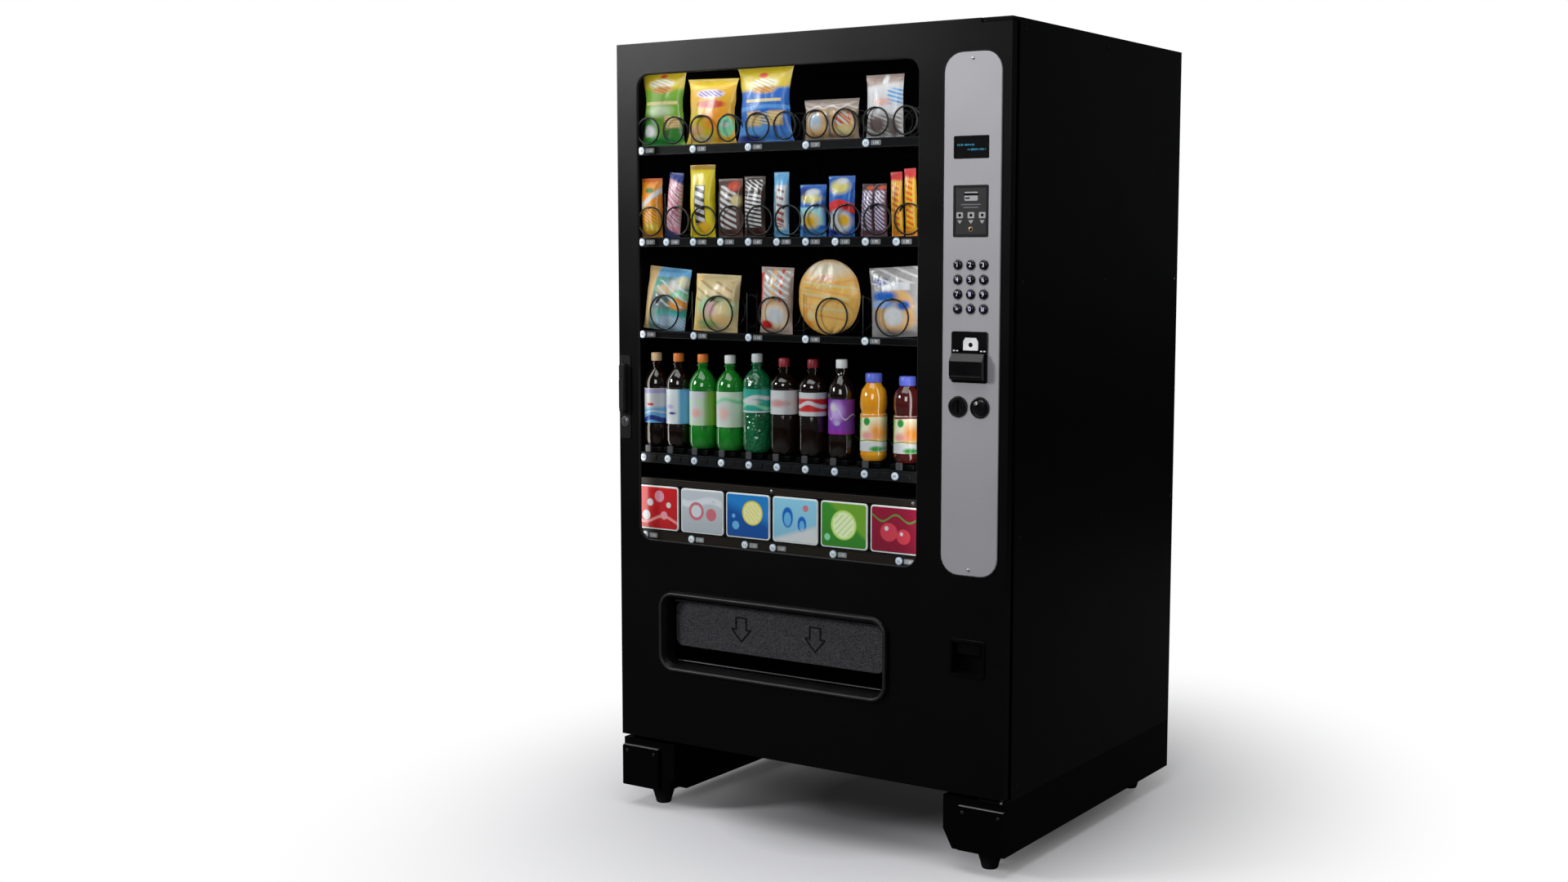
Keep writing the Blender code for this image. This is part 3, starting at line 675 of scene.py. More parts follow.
def pillow(number, x, d, w, h, t, look, lean=0, tilt=0, seed=0, crimp=8, waist=0.07,
           power=2.6, nu=22, nv=34, oval=False):
    """Sealed packet: crimped ends, pulled-in sides, creases running out of the seals."""
    loops = []
    for j in range(nv + 1):
        v = j / nv
        zz = v * h
        inner = min(max((zz - crimp) / (h - 2 * crimp), 0), 1)
        fat = t * math.sin(math.pi * inner) ** 0.5 if 0 < inner < 1 else 0
        pull = math.sin(math.pi * v) ** 0.7 * (0.85 + 0.3 * noise.noise(Vector((seed, v * 4, 2))))
        half = w / 2 * (1 - waist * pull)
        if oval:
            half = w / 2 * max(1 - abs(2 * v - 1) ** 2.3, 0.02) ** 0.5
            fat = t * max(1 - abs(2 * v - 1) ** 2.2, 0.01) ** 0.5
        near = math.exp(-min(zz, h - zz) / (h * 0.16))
        loop = []
        for face in (-1, 1):
            for i in range(nu + 1) if face < 0 else range(nu - 1, 0, -1):
                u = 2 * i / nu - 1
                y = fat / 2 * max(1 - abs(u) ** power, 0) ** 0.6
                crease = math.sin(u * 9 + seed * 1.7 + v * 3) * near + 0.6 * math.sin(u * 17 - seed) * near
                soft = noise.noise(Vector((u * 1.6, v * 3.2, seed * 3.1 + face))) * 1.4
                y += min(fat, t * 0.6) / t * (crease * 0.075 + soft * 0.12) * t * (1 - abs(u) ** 4)
                y = max(y, 0.35)
                ripple = noise.noise(Vector((seed, v * 5, u + 7))) * w * 0.012
                loop.append(Vector(((u * half + ripple) / 1000, face * y / 1000, zz / 1000)))
        loops.append(loop)
    row = int(number[0])
    rot = (math.radians(lean), math.radians(tilt), 0)
    Mesh().add(loft(loops)).make("packet_" + number, "tray_%d" % row, [look], "picture",
        P(x, d, FLOOR[row]), 60, rot)


SUN, LIME, LEAF = (0.6, 0.45, 0.02), (0.17, 0.38, 0.03), (0.03, 0.2, 0.02)
TAN, CREAM, SNOW = (0.68, 0.39, 0.15), (0.7, 0.57, 0.28), (0.66, 0.67, 0.7)
GOLD, AMBER, RUST = (0.76, 0.42, 0.02), (0.86, 0.3, 0.02), (0.62, 0.06, 0.02)
BLUE, SKY, NAVY = (0.01, 0.13, 0.55), (0.14, 0.44, 0.78), (0.01, 0.03, 0.25)
RED, PINK, WINE = (0.62, 0.02, 0.02), (0.72, 0.3, 0.4), (0.18, 0.01, 0.03)
COCOA, LILAC, TEAL = (0.05, 0.02, 0.015), (0.45, 0.4, 0.7), (0.02, 0.38, 0.3)
MINT, GREEN, SAND = (0.25, 0.7, 0.4), (0.02, 0.3, 0.04), (0.8, 0.55, 0.26)


# First row: bags.
pillow("101", 88, 67, 134, 176, 34, film("bag_green", LIME,
    (("side", SUN, 0.03, 1, 134, 5), ("ell", SNOW, -2, 146, 36, 12, 0.2),
    ("marks", SUN, -34, 30, 132, 160, 8, 0.35, 0.5), ("ell", (0.62, 0.3, 0.08), 4, 131, 30, 8),
    ("marks", (0.4, 0.16, 0.03), -22, 28, 124, 138, 7, 0.3, 0.4), ("ell", RUST, 2, 164, 10, 5),
    ("rect", CREAM, -44, 46, 96, 104, 1.5), ("ell", (0.62, 0.74, 0.5), -2, 82, 30, 13, 0.5),
    ("ell", LEAF, -44, 44, 34, 28), ("ell", SNOW, -36, 34, 17, 14, 0.35),
    ("rect", TAN, 12, 52, 34, 68, 5), ("marks", CREAM, 12, 50, 34, 68, 6, 0, 0.1),
    ("ell", LEAF, 40, 24, 40, 17, 0.15), ("ell", GREEN, -8, 10, 60, 12, 0.2)), 176), -2, 0, 1, waist=0.19)
pillow("102", 230, 67, 149, 152, 34, film("bag_gold", GOLD,
    (("ell", AMBER, 8, 56, 46, 40, 0.5), ("ell", SUN, -40, 40, 30, 46, 0.4),
    ("side", (0.8, 0.55, 0.04), -0.06, 1, 132, 2), ("ell", (0.66, 0.62, 0.84), 0, 116, 40, 10, 0.15),
    ("marks", (0.22, 0.12, 0.42), -34, 34, 110, 123, 7, 0.5, 0.2), ("ell", RUST, 4, 92, 38, 10, 0.2),
    ("marks", (0.45, 0.05, 0.02), -32, 38, 86, 98, 6, 0.6, 0.4), ("ell", MINT, 46, 40, 20, 24, 0.1),
    ("ell", SNOW, 44, 44, 11, 6), ("ell", TAN, -36, 26, 24, 18, 0.15),
    ("ell", SUN, -2, 20, 20, 15, 0.2), ("ell", CREAM, -24, 12, 30, 9)), 152), -2, 1.2, 2, waist=0.17)
pillow("103", 384, 67, 162, 175, 34, film("bag_blue", BLUE,
    (("side", SUN, -0.05, 1, 120, 4), ("ell", SNOW, 2, 134, 36, 11, 0.25),
    ("marks", SUN, -32, 32, 122, 146, 8, 0.4, 0.5), ("ell", (0.62, 0.32, 0.08), 4, 118, 30, 8),
    ("marks", (0.4, 0.16, 0.03), -24, 32, 111, 125, 7, 0.4, 0.4), ("ell", RUST, 0, 152, 12, 6),
    ("rect", CREAM, -46, 50, 91, 98, 1.5), ("swell", (0.1, 0.32, 0.75), 78, 9, 2, 150, 1),
    ("ell", (0.12, 0.34, 0.75), -20, 22, 54, 30, 0.5), ("rect", TAN, -42, -4, 36, 70, 6),
    ("rect", TAN, 18, 54, 36, 70, 6), ("marks", CREAM, -42, 54, 38, 68, 7, 0.2, -0.3),
    ("ell", (0.05, 0.2, 0.6), 40, 16, 40, 16), ("ell", NAVY, -50, 8, 46, 9)), 175), -2, -0.8, 3,
    waist=0.21)
# Twin rolls: the white slanted strokes over the right roll are painted highlights on the clear wrap.
pillow("104", 567, 66, 148, 90, 34, film("twin_rolls", (0.34, 0.27, 0.24),
    (("rect", TAN, -66, -6, 6, 66, 10), ("rect", TAN, 6, 64, 6, 64, 10),
    ("ell", SNOW, -38, 42, 20, 20, 0.4), ("ell", (0.45, 0.62, 0.8), -36, 44, 11, 9, 0.5),
    ("ell", CREAM, 38, 18, 22, 12), ("marks", (0.55, 0.08, 0.1), 20, 56, 34, 60, 12, 0.8, -0.2),
    ("marks", SNOW, 12, 50, 30, 66, 17, 0.8, 0.5), ("swell", (0.66, 0.62, 0.6), 72, 3, 3, 40, 0.5, 1.5)),
    90, 6, 0.2, 1), 0, 0, 4, 6, 0.07)
pillow("105", 706, 67, 98, 138, 34, film("pouch_white", (0.66, 0.64, 0.68),
    (("side", (0.3, 0.22, 0.2), -0.1, 1, 116, 4), ("ell", SNOW, 6, 124, 7, 14),
    ("rect", (0.1, 0.35, 0.75), 14, 46, 72, 106, 6), ("marks", SNOW, 8, 46, 70, 108, 9, 0.3, 0.1),
    ("ell", (0.75, 0.45, 0.42), 2, 78, 20, 8, 0.5), ("rect", (0.32, 0.27, 0.26), -46, 46, 4, 50, 8),
    ("marks", SNOW, -44, 44, 6, 50, 10, 0.4, 0.35), ("ell", (0.16, 0.11, 0.11), -16, 28, 22, 16),
    ("ell", (0.2, 0.15, 0.15), 24, 22, 14, 18)), 138, 7, 0.3, 1), 0, 0, 5, 7, 0.08)


def bar(number, x, w, h, t, look, seed, tilt=0):
    """Slim packet of the second tray."""
    pillow(number, x, 65, w, h, t, look, 0, tilt, seed, 6, 0.05, 3.2, 14, 26)


# Second row: bars and small sacks.
bar("201", 54, 63, 141, 30, film("bar_orange", AMBER,
    (("ell", GOLD, 0, 40, 30, 34, 0.4), ("side", SNOW, -0.7, 1, 84, 2), ("side", AMBER, -0.7, 1, 98, 3),
    ("ell", SUN, 4, 30, 18, 16), ("ell", LEAF, 0, 112, 13, 6),
    ("side", (0.8, 0.16, 0.02), 0, 1, 132, 2), ("marks", RUST, -22, 22, 30, 66, 9, 0.7, 0.5)), 141), 11)
bar("202", 116, 42, 154, 26, film("bar_pink", PINK,
    (("marks", SNOW, -20, 20, 26, 128, 8.5, 0.8, 0.35), ("side", NAVY, 0.3, 1, 134, 3),
    ("side", NAVY, -0.4, -1, -14, 3), ("marks", (0.6, 0.12, 0.25), -16, 16, 30, 122, 15, 0.8, 0.5)), 156),
    12, 5)
bar("203", 206, 74, 170, 32, film("bar_yellow", (0.85, 0.66, 0.01),
    (("side", (0.55, 0.3, 0.01), 0, 1, 158, 2), ("rect", COCOA, -15, 15, 28, 122, 3),
    ("marks", SNOW, -13, 13, 30, 120, 19, 0.35, -0.1), ("ell", GOLD, 10, 22, 18, 14),
    ("ell", SUN, -14, 16, 12, 10, 0.2)), 170), 13)
bar("204", 287, 70, 136, 30, film("bar_brown", (0.12, 0.055, 0.045),
    (("marks", SNOW, -26, 22, 18, 120, 15, 0.5, 0), ("rect", COCOA, -30, -24, 10, 130, 2),
    ("ell", RUST, 14, 118, 16, 12), ("ell", CREAM, 22, 84, 12, 14)), 138), 14)
bar("205", 356, 60, 140, 26, film("bar_dark", COCOA,
    (("rect", SNOW, -24, 24, 108, 132, 2), ("marks", COCOA, -24, 24, 108, 132, 9, 0.6, -0.2),
    ("marks", SNOW, -22, 22, 22, 100, 9.5, 0.18, -0.15), ("rect", COCOA, -28, -23, 0, 140, 1)), 142), 15)
bar("206", 431, 42, 148, 24, film("bar_sky", SKY,
    (("rect", SNOW, -13, 18, 16, 118, 5), ("marks", (0.25, 0.12, 0.14), -7, 12, 22, 112, 17, 0.3, 0.35),
    ("marks", RUST, -5, 10, 26, 58, 13, 0.5, 0.6), ("side", SKY, 0, 1, 136, 2)), 148), 16)
bar("207", 518, 72, 118, 30, film("sack_blue", BLUE,
    (("ell", NAVY, -20, 98, 18, 12, 0.4), ("ell", (0.72, 0.62, 0.18), 0, 86, 26, 11, 0.4),
    ("ell", SNOW, 4, 100, 18, 8), ("rect", (0.35, 0.72, 0.82), -32, 32, 26, 66, 5),
    ("ell", CREAM, 0, 36, 24, 20, 0.25), ("ell", GOLD, -2, 34, 13, 10),
    ("rect", (0.05, 0.25, 0.6), -36, 36, 0, 16, 3)), 118), 17)
bar("208", 595, 71, 136, 30, film("sack_red", BLUE,
    (("ell", (0.72, 0.62, 0.18), 0, 112, 24, 16, 0.35), ("ell", SNOW, 4, 124, 14, 7),
    ("swell", (0.75, 0.03, 0.03), 66, 22, 6, 90, 1.6), ("ell", SNOW, 0, 34, 30, 26, 0.2),
    ("ell", GOLD, 12, 36, 14, 13), ("ell", NAVY, -26, 8, 20, 8)), 136), 18)
for k, (x, seed) in enumerate(((662, 19), (698, 20))):
    bar("209_%d" % k, x, 34, 117, 22, film("bar_violet_%d" % k, (0.16, 0.07, 0.1),
        (("marks", (0.62, 0.6, 0.84), -13, 13, 14, 104, 9.5, 0.9, 0.1),
        ("rect", COCOA, -18, 18, 102, 118, 2), ("ell", RUST, 6, 108, 9, 5)), 117), seed, 2 - 3 * k)
for k, (x, h, seed) in enumerate(((742, 142, 21), (777, 149, 22))):
    bar("210_%d" % k, x, 30, h, 20, film("bar_flame_%d" % k, GOLD,
        (("side", RED, 0.05, 1, h - 20 - 2 * k, 4),
        ("marks", (0.72, 0.12, 0.01), -9, 9, 16, h - 26, 13, 0.5, 0.1), ("side", AMBER, 0, -1, -14, 4)), h),
        seed, -2)


# Third row: wide flat packets.
pillow("301", 84, 69, 125, 152, 34, film("slab_mixed", (0.1, 0.2, 0.19),
    (("rect", TEAL, -38, 60, 90, 126, 8), ("rect", SKY, -46, 66, 128, 160, 4),
    ("ell", SNOW, 30, 112, 26, 14, 0.4), ("ell", SAND, 2, 98, 28, 12),
    ("ell", MINT, 42, 84, 22, 12), ("ell", AMBER, 40, 66, 22, 14),
    ("ell", (0.06, 0.1, 0.16), -30, 64, 22, 14, 0.4), ("rect", TEAL, -22, 66, 30, 50, 10),
    ("ell", (0.25, 0.45, 0.66), 24, 20, 46, 20, 0.35),
    ("marks", (0.55, 0.62, 0.66), -10, 60, 6, 34, 8, 0.7, 0.3),
    ("ell", (0.72, 0.68, 0.45), 46, 120, 18, 14),
    ("marks", (0.7, 0.72, 0.74), -26, 60, 58, 120, 21, 0.6, 0.55), ("side", SAND, -1, 0.12, 46, 3)), 152, 5,
    0.32), -5, 5, 31, 5, 0.02, 5)
pillow("302", 237, 70, 130, 136, 36, film("slab_sand", (0.66, 0.5, 0.26),
    (("side", (0.86, 0.58, 0.2), -1, 0, 42, 4), ("ell", CREAM, -14, 96, 36, 20),
    ("ell", (0.86, 0.62, 0.36), 14, 88, 30, 22), ("ell", MINT, 6, 60, 46, 20, 0.5),
    ("ell", (0.82, 0.5, 0.5), -2, 54, 22, 18), ("ell", CREAM, 26, 56, 22, 18, 0.25),
    ("ell", (0.72, 0.46, 0.2), 22, 30, 26, 12), ("ell", (0.3, 0.42, 0.14), -18, 18, 26, 10),
    ("marks", (0.45, 0.3, 0.12), -52, 50, 70, 120, 23, 0.5, 0.6)), 136, 5, 0.32), -4, 2, 32, 5, 0.03, 4)
pillow("303", 412, 70, 92, 154, 36, film("roll_red", (0.48, 0.36, 0.32),
    (("rect", RED, -46, -34, 56, 140, 4), ("rect", (0.8, 0.45, 0.18), -10, 4, 70, 150, 4),
    ("rect", RUST, 14, 22, 74, 150, 3), ("ell", (0.86, 0.56, 0.3), 2, 40, 38, 32, 0.2),
    ("ell", SNOW, 4, 42, 26, 22), ("ell", RED, -22, 20, 18, 10),
    ("marks", SNOW, -30, 38, 84, 146, 16, 0.6, 0.2)), 154, 7, 0.26, 0.9), 0, 2, 33, 7, 0.06)
# Round pastry: the pale cream slanted strokes are painted highlights on the wrap.
pillow("304", 559, 69, 166, 172, 36, film("round_pastry", (0.8, 0.42, 0.09),
    (("ell", (0.82, 0.46, 0.08), 0, 84, 74, 76, 0.1), ("ell", (0.72, 0.6, 0.45), 0, 150, 66, 20, 0.5),
    ("ell", (0.84, 0.5, 0.14), 4, 56, 62, 46, 0.4), ("swell", CREAM, 108, 3, 5, 150, 0.3, 2),
    ("swell", (0.8, 0.3, 0.1), 122, 3, 3, 60, 1, 2),
    ("marks", (0.8, 0.36, 0.08), -60, 60, 30, 120, 19, 0.15, 0.7),
    ("marks", CREAM, -66, 60, 40, 130, 27, 0.1, 0.75), ("ell", (0.75, 0.4, 0.3), -4, 130, 22, 6, 0.5),
    ("ell", AMBER, -50, 40, 16, 24, 0.4), ("ell", CREAM, -42, 44, 12, 12, 0.4)), 172, 0.1, 0.3, 0.9), 0, 0,
    34, 0.1, 0, 2.4, 26, 34, True)
pillow("305", 738, 70, 130, 156, 36, film("bag_bagel", (0.33, 0.31, 0.32),
    (("ell", TAN, 4, 64, 48, 46, 0.12), ("ell", (0.8, 0.44, 0.16), 6, 36, 44, 22),
    ("ell", SNOW, 2, 46, 26, 22), ("ell", BLUE, -20, 92, 32, 12),
    ("ell", (0.3, 0.45, 0.8), -24, 74, 34, 9), ("ell", BLUE, 28, 70, 16, 10, 0.4),
    ("rect", (0.62, 0.62, 0.68), -24, 44, 104, 122, 4), ("ell", NAVY, -30, 124, 22, 8, 0.4),
    ("marks", (0.6, 0.58, 0.6), -60, 62, 118, 156, 19, 0.4, 0.6)), 158, 6, 0.24, 1), 0, -3, 35, 6, 0.05)


# ------------------------------------------------------------------ bottles
def liquid(name, colour, dark, rough=0.08, dimples=False):
    look = Look(name, colour, rough, Coat_Weight=0.9, Coat_Roughness=0.05, Specular_IOR_Level=0.6)
    look.colour(look.mix(look.remap(look.grain(0.03, 3, (1, 1, 0.5)), 0.35, 0.7), dark, colour))
    if dimples:
        return look.bump(look.cells(0.11), 0.8, 0.003)
    return look.bump(look.grain(0.02, 2), 0.15, 0.002)


def print_label(name, base, layers):
    look = Look(name, base, 0.35, Coat_Weight=0.3, Coat_Roughness=0.15)
    look.colour(look.paint(base, layers))
    return look.bump(look.grain(0.5, 2), 0.05, 0.0003)


SKIN, LABEL, CAP = range(3)
FOOT_H = 22
BOTTLE_SIDES = 48


def turned(profile):
    """Rings of a bottle about its own upright axis, with a ribbed cap and a foot of five lobes. The profile
    is (radius, height, kind) in millimetres."""
    loops = []
    for r, z, kind in profile:
        loop = []
        for i in range(BOTTLE_SIDES):
            a = TAU * i / BOTTLE_SIDES
            far = r
            if kind == CAP:
                far *= 1 + 0.018 * math.cos(24 * a)
            if z < FOOT_H:
                far *= 1 - 0.07 * (0.5 + 0.5 * math.cos(5 * a)) * (1 - z / FOOT_H)
            loop.append(Vector((far * math.cos(a) / 1000, far * math.sin(a) / 1000, z / 1000)))
        loops.append(loop)
    return loops


def bottle(name, x, r, h, skin, cap, label, l0, l1, juice=False):
    """A bottle of radius r and height h, whose label runs from l0 to l1."""
    neck, cap_r, top = (16.5, 18.6, h - 21) if juice else (11.8, 13.2, h - 20)
    foot = [(r * 0.5, 0), (r * 0.84, 2.5), (r * 0.97, 9), (r, 18), (r, l0 - 9), (r * 0.965, l0 - 3),
            (r * 0.965, l0)]
    paper = [(r * 0.985, l0 + 0.1), (r * 0.985, l1 - 0.1)]
    if juice:
        upper = [(r * 0.93, l1), (r * 0.9, l1 + 6), (r * 0.98, l1 + 13), (r, l1 + 22), (r * 0.98, l1 + 38),
                 (r * 0.88, l1 + 54), (neck + 3, top - 6), (neck, top)]
    else:
        rise = top - 16 - (l1 + 14)
        upper = [(r * 0.965, l1), (r, l1 + 5), (r * 0.985, l1 + 14)]
        upper += [(neck + (r * 0.985 - neck) * (1 - q ** 1.7), l1 + 14 + rise * q)
                  for q in (0.25, 0.5, 0.72, 0.88, 1)]
        upper += [(neck, top - 8), (neck + 3.2, top - 7), (neck + 3.2, top - 4.5), (neck, top - 3.5)]
        upper.append((neck, top))
    lid = [(cap_r * 0.98, top + 0.1), (cap_r, top + 2), (cap_r, h - 2.5), (cap_r * 0.93, h - 0.6),
           (cap_r * 0.8, h)]
    parts = zip((SKIN, LABEL, SKIN, CAP), (foot, paper, upper, lid))
    profile = [(far, z, kind) for kind, part in parts for far, z in part]
    kinds = [kind for _, _, kind in profile]
    m = Mesh().add(loft(turned(profile)))
    m.k = [max(pair) for pair in zip(kinds, kinds[1:]) for _ in range(BOTTLE_SIDES)] + [SKIN, CAP]
    m.make(name, "tray_4", [skin, label, cap], "picture", P(x, 77, FLOOR[4]), 40)


def row_four():
    """Ten bottles, the lanes they stand in and the wire guides between them."""
    cola = liquid("cola", (0.012, 0.005, 0.003), (0.006, 0.003, 0.002))
    green = liquid("green_drink", (0.02, 0.31, 0.03), (0.005, 0.13, 0.012))
    teal = liquid("green_dimpled", (0.01, 0.2, 0.07), (0.005, 0.08, 0.03), 0.06, True)
    orange = liquid("orange_drink", (0.9, 0.42, 0.02), (0.8, 0.28, 0.01))
    berry = liquid("berry_drink", (0.1, 0.012, 0.01), (0.05, 0.006, 0.006))
    tints = {"tan": (0.72, 0.5, 0.28), "orange": (0.85, 0.2, 0.03), "white": (0.76, 0.77, 0.8),
             "grey": (0.62, 0.64, 0.66), "red": (0.3, 0.02, 0.03), "wine": (0.22, 0.01, 0.02),
             "blue": (0.1, 0.13, 0.62)}
    caps = {key: plastic("cap_" + key, tint, 0.35, 0.6, 0.1) for key, tint in tints.items()}
    rows = (
        (31, 228, cola, "tan", 58, 142, SNOW, (("side", SKY, 0.1, -1, -94, 4),
            ("swell", NAVY, 66, 12, 5, 70, 1, 1.5), ("rect", RED, -6, 10, 100, 106, 2),
            ("rect", LILAC, -40, 40, 130, 140, 1), ("swell", SNOW, 84, 4, 3, 60, 0.5, 1))),
        (31.5, 228, cola, "orange", 58, 142, (0.78, 0.86, 0.92),
            (("ell", SNOW, -6, 96, 16, 32, 0.5), ("ell", LILAC, -4, 100, 9, 5, 0.4),
            ("ell", NAVY, 2, 84, 9, 3, 0.5), ("side", SKY, 1, 0, 18, 4))),
        (34, 228, green, "orange", 58, 140, (0.5, 0.8, 0.42),
            (("rect", SNOW, -40, 40, 122, 140, 1), ("ell", SNOW, -2, 92, 22, 30, 0.6),
            ("ell", (0.85, 0.45, 0.42), 2, 88, 13, 10, 0.5), ("side", LIME, 1, 0, 24, 5))),
        (34, 228, green, "white", 58, 142, (0.74, 0.88, 0.7),
            (("ell", SNOW, -4, 98, 24, 40, 0.6), ("ell", (0.85, 0.52, 0.48), 4, 90, 13, 14, 0.5),
            ("swell", MINT, 120, 8, 5, 70, 0.8, 3))),
        (34, 234, teal, "grey", 96, 152, TEAL, (("swell", SNOW, 128, 9, 6, 90, 0.4, 1.5),
            ("swell", MINT, 112, 8, 8, 80, 1.4, 2), ("ell", SNOW, 4, 122, 18, 7, 0.4),
            ("rect", SNOW, -40, 40, 97, 101, 1))),
        (33, 226, cola, "red", 96, 152, SNOW, (("ell", (0.62, 0.1, 0.1), 2, 122, 22, 8, 0.4),
            ("marks", SNOW, -22, 24, 114, 130, 6, 0.7, 0.3))),
        (33.5, 226, cola, "wine", 96, 150, SNOW, (("rect", RED, -38, 38, 106, 136, 3),
            ("swell", SNOW, 122, 9, 5, 60, 0.8, 1.5), ("rect", SNOW, -40, 40, 138, 153, 1))),
        (31.5, 228, cola, "white", 58, 138, (0.22, 0.04, 0.42),
            (("ell", (0.6, 0.4, 0.85), 4, 110, 15, 22, 0.5), ("ell", LILAC, 6, 84, 7, 6, 0.2),
            ("ell", SNOW, -4, 120, 8, 9, 0.5), ("rect", (0.32, 0.02, 0.4), -40, 40, 56, 66, 2),
            ("swell", SNOW, 104, 3, 12, 34, 0.5, 1))),
    )
    for k, (r, h, skin, cap, l0, l1, base, layers) in enumerate(rows):
        a = print_label("label_%d" % (41 + k), base, layers)
        bottle("bottle_40%d" % (k + 1), BOTTLE_X[k], r, h, skin, caps[cap], a, l0, l1)
    for k, (x, skin, side) in enumerate(((BOTTLE_X[8], orange, AMBER), (BOTTLE_X[9], berry, WINE))):
        a = print_label("label_%d" % (49 + k), (0.88, 0.84, 0.62),
            (("ell", GREEN, 0, 92, 8, 9, 0.2), ("side", LIME, -1, 0.1, 26, 5),
            ("ell", AMBER, 22, 66, 14, 22, 0.6), ("ell", (0.85, 0.35, 0.3), 0, 60, 16, 9, 0.5),
            ("rect", SNOW, -40, 40, 24, 46, 2), ("swell", GREEN, 48, 2, 2, 70, 1, 0.8),
            ("ell", GREEN, 20, 30, 12, 6, 0.4), ("swell", side, 104, 5, 1, 80, 0, 1)))
        bottle("bottle_41%d" % k, x, 31.5, 200 - 4 * k, skin, caps["blue"], a, 24, 108, True)
    m = Mesh()
    base, stop, rail = 829, 846, 876
    for i, x in enumerate(BOTTLE_X):
        m.add(slab((x - 31, x + 31, base, FLOOR[4] - 0.6, 3), 52, 560, 2, 3))
        m.add(slab((x - 8, x + 8, base, stop, 2), 39.5, 43.2, 0.8, 2), 1)
        if i:
            g = (x + BOTTLE_X[i - 1]) / 2
            guide = ((100, base), (100, rail - 8), (106, rail), (600, rail), (604, base))
            m.add(tube([P(g, d, z) for d, z in guide], 0.0013, 6), 2)
    m.make("lane_guides_tray_4", "tray_4", [RAIL, EDGE_GREY, WIRE], "tray_black", smooth=30)


row_four()


# ------------------------------------------------------------------ drink pictures over the lowest tray
def tiles():
    """Six plain drink pictures on the picture panel, and the strip above them."""
    edge = plastic("tile_border", (0.8, 0.8, 0.82), 0.3, 0.6, 0.05)
    front = span("picture_panel")[0][1]
    low, high, pitch, wide, last = 640.5, 747.7, 133.6, 125.5, 821
    art = (
        ("red", (0.62, 0.015, 0.02), (("ell", SNOW, -22, 66, 9, 9, 0.08),
            ("ell", PINK, 6, 82, 14, 14, 0.06), ("ell", SNOW, 34, 62, 7, 7, 0.08),
            ("ell", PINK, 20, 36, 10, 10, 0.08), ("swell", (0.8, 0.3, 0.3), 26, 7, 8, 110, 0.6, 1.5),
            ("ell", SNOW, -34, 34, 12, 12, 0.06))),
        ("grey", (0.58, 0.62, 0.68), (("swell", (0.72, 0.76, 0.82), 76, 16, 6, 120, 0.3, 3),
            ("ell", (0.62, 0.16, 0.2), -16, 54, 22, 22, 0.05),
            ("ell", (0.66, 0.7, 0.76), -16, 54, 15, 15, 0.06),
            ("ell", (0.62, 0.16, 0.2), 28, 48, 15, 15, 0.06), ("ell", SNOW, 34, 78, 6, 6, 0.1))),
        ("blue", (0.01, 0.1, 0.42), (("side", (0.02, 0.22, 0.62), 0.35, 1, 60, 14),
            ("ell", (0.8, 0.7, 0.05), 14, 62, 29, 29, 0.04),
            ("ell", (0.88, 0.84, 0.45), 14, 62, 25, 25, 0.04),
            ("marks", (0.8, 0.7, 0.05), -6, 34, 42, 82, 12, 1, 0.75),
            ("ell", SKY, -34, 30, 10, 10, 0.08), ("ell", SKY, -40, 52, 5, 5, 0.1))),
        ("sky", (0.3, 0.66, 0.88), (("ell", BLUE, -20, 60, 15, 24, 0.1),
            ("ell", SKY, -20, 56, 10, 16, 0.1), ("ell", BLUE, 20, 46, 12, 19, 0.1),
            ("ell", SKY, 20, 43, 7, 12, 0.1), ("ell", (0.62, 0.2, 0.25), 30, 84, 8, 8, 0.1),
            ("side", SNOW, 0.3, -1, -26, 6))),
        ("lime", (0.05, 0.3, 0.03), (("side", LIME, 0.8, 1, 72, 6),
            ("ell", (0.55, 0.8, 0.2), 0, 54, 34, 34, 0.04),
            ("ell", (0.85, 0.92, 0.6), 0, 54, 29, 29, 0.04),
            ("marks", (0.4, 0.7, 0.12), -24, 24, 30, 78, 15, -1, 0.8),
            ("ell", MINT, -44, 24, 8, 8, 0.1))),
        ("wine", (0.3, 0.01, 0.04), (("ell", (0.62, 0.05, 0.08), -14, 48, 22, 21, 0.06),
            ("ell", (0.62, 0.05, 0.08), 24, 40, 18, 17, 0.06), ("ell", SNOW, -20, 56, 5, 5),
            ("ell", SNOW, 19, 46, 4, 4), ("swell", (0.1, 0.28, 0.05), 80, 4, 8, 70, 1.2, 1.2))),
    )
    for k, (name, base, layers) in enumerate(art):
        x0 = SHELF_LEFT + pitch * k
        x1 = min(x0 + wide, last)
        at = P((x0 + x1) / 2, front, low)
        # The pictures glow faintly in their own printed colour: painted light that lifts them.
        look = Look("art_" + name, base, 0.18, Coat_Weight=0.5, Coat_Roughness=0.08, Emission_Strength=0.08)
        shade = look.mix(look.side(0, 1, 52, 60), tuple(c * 0.72 for c in base), base)
        printed = look.paint(shade, layers)
        look.colour(printed)
        look.t.links.new(printed, look.b.inputs["Emission Color"])
        look.rough(look.grain(0.2, 2), 0.14, 0.24)
        m = Mesh()
        m.add(slab((x0, x1, low, high, 8), front - 3.6, front + 0.2, 1.2, 6), 1)
        m.add(slab((x0 + 3.5, x1 - 3.5, low + 3.5, high - 3.5, 6), front - 4.4, front - 3, 0.5, 6))
        m.v = [v - at for v in m.v]
        m.make("tile_" + name, "tray_5", [look, edge], "picture", at, 30)
    strip = powder("strip_brown", (0.022, 0.016, 0.013), 0.3, 0.16)
    m = Mesh()
    m.add(slab((27, 835, 750.5, 765.6, 1), front - 3, front + 0.2, 0.8, 2))
    for x in (30, 420, 800):
        m.add(disc(x, 758, ((3.6, front - 2.9), (3.6, front - 3.5), (2.6, front - 3.9)), 16), 1)
    m.make("tile_strip", "tray_5", [strip, ZINC], "tray_black", smooth=30)


tiles()


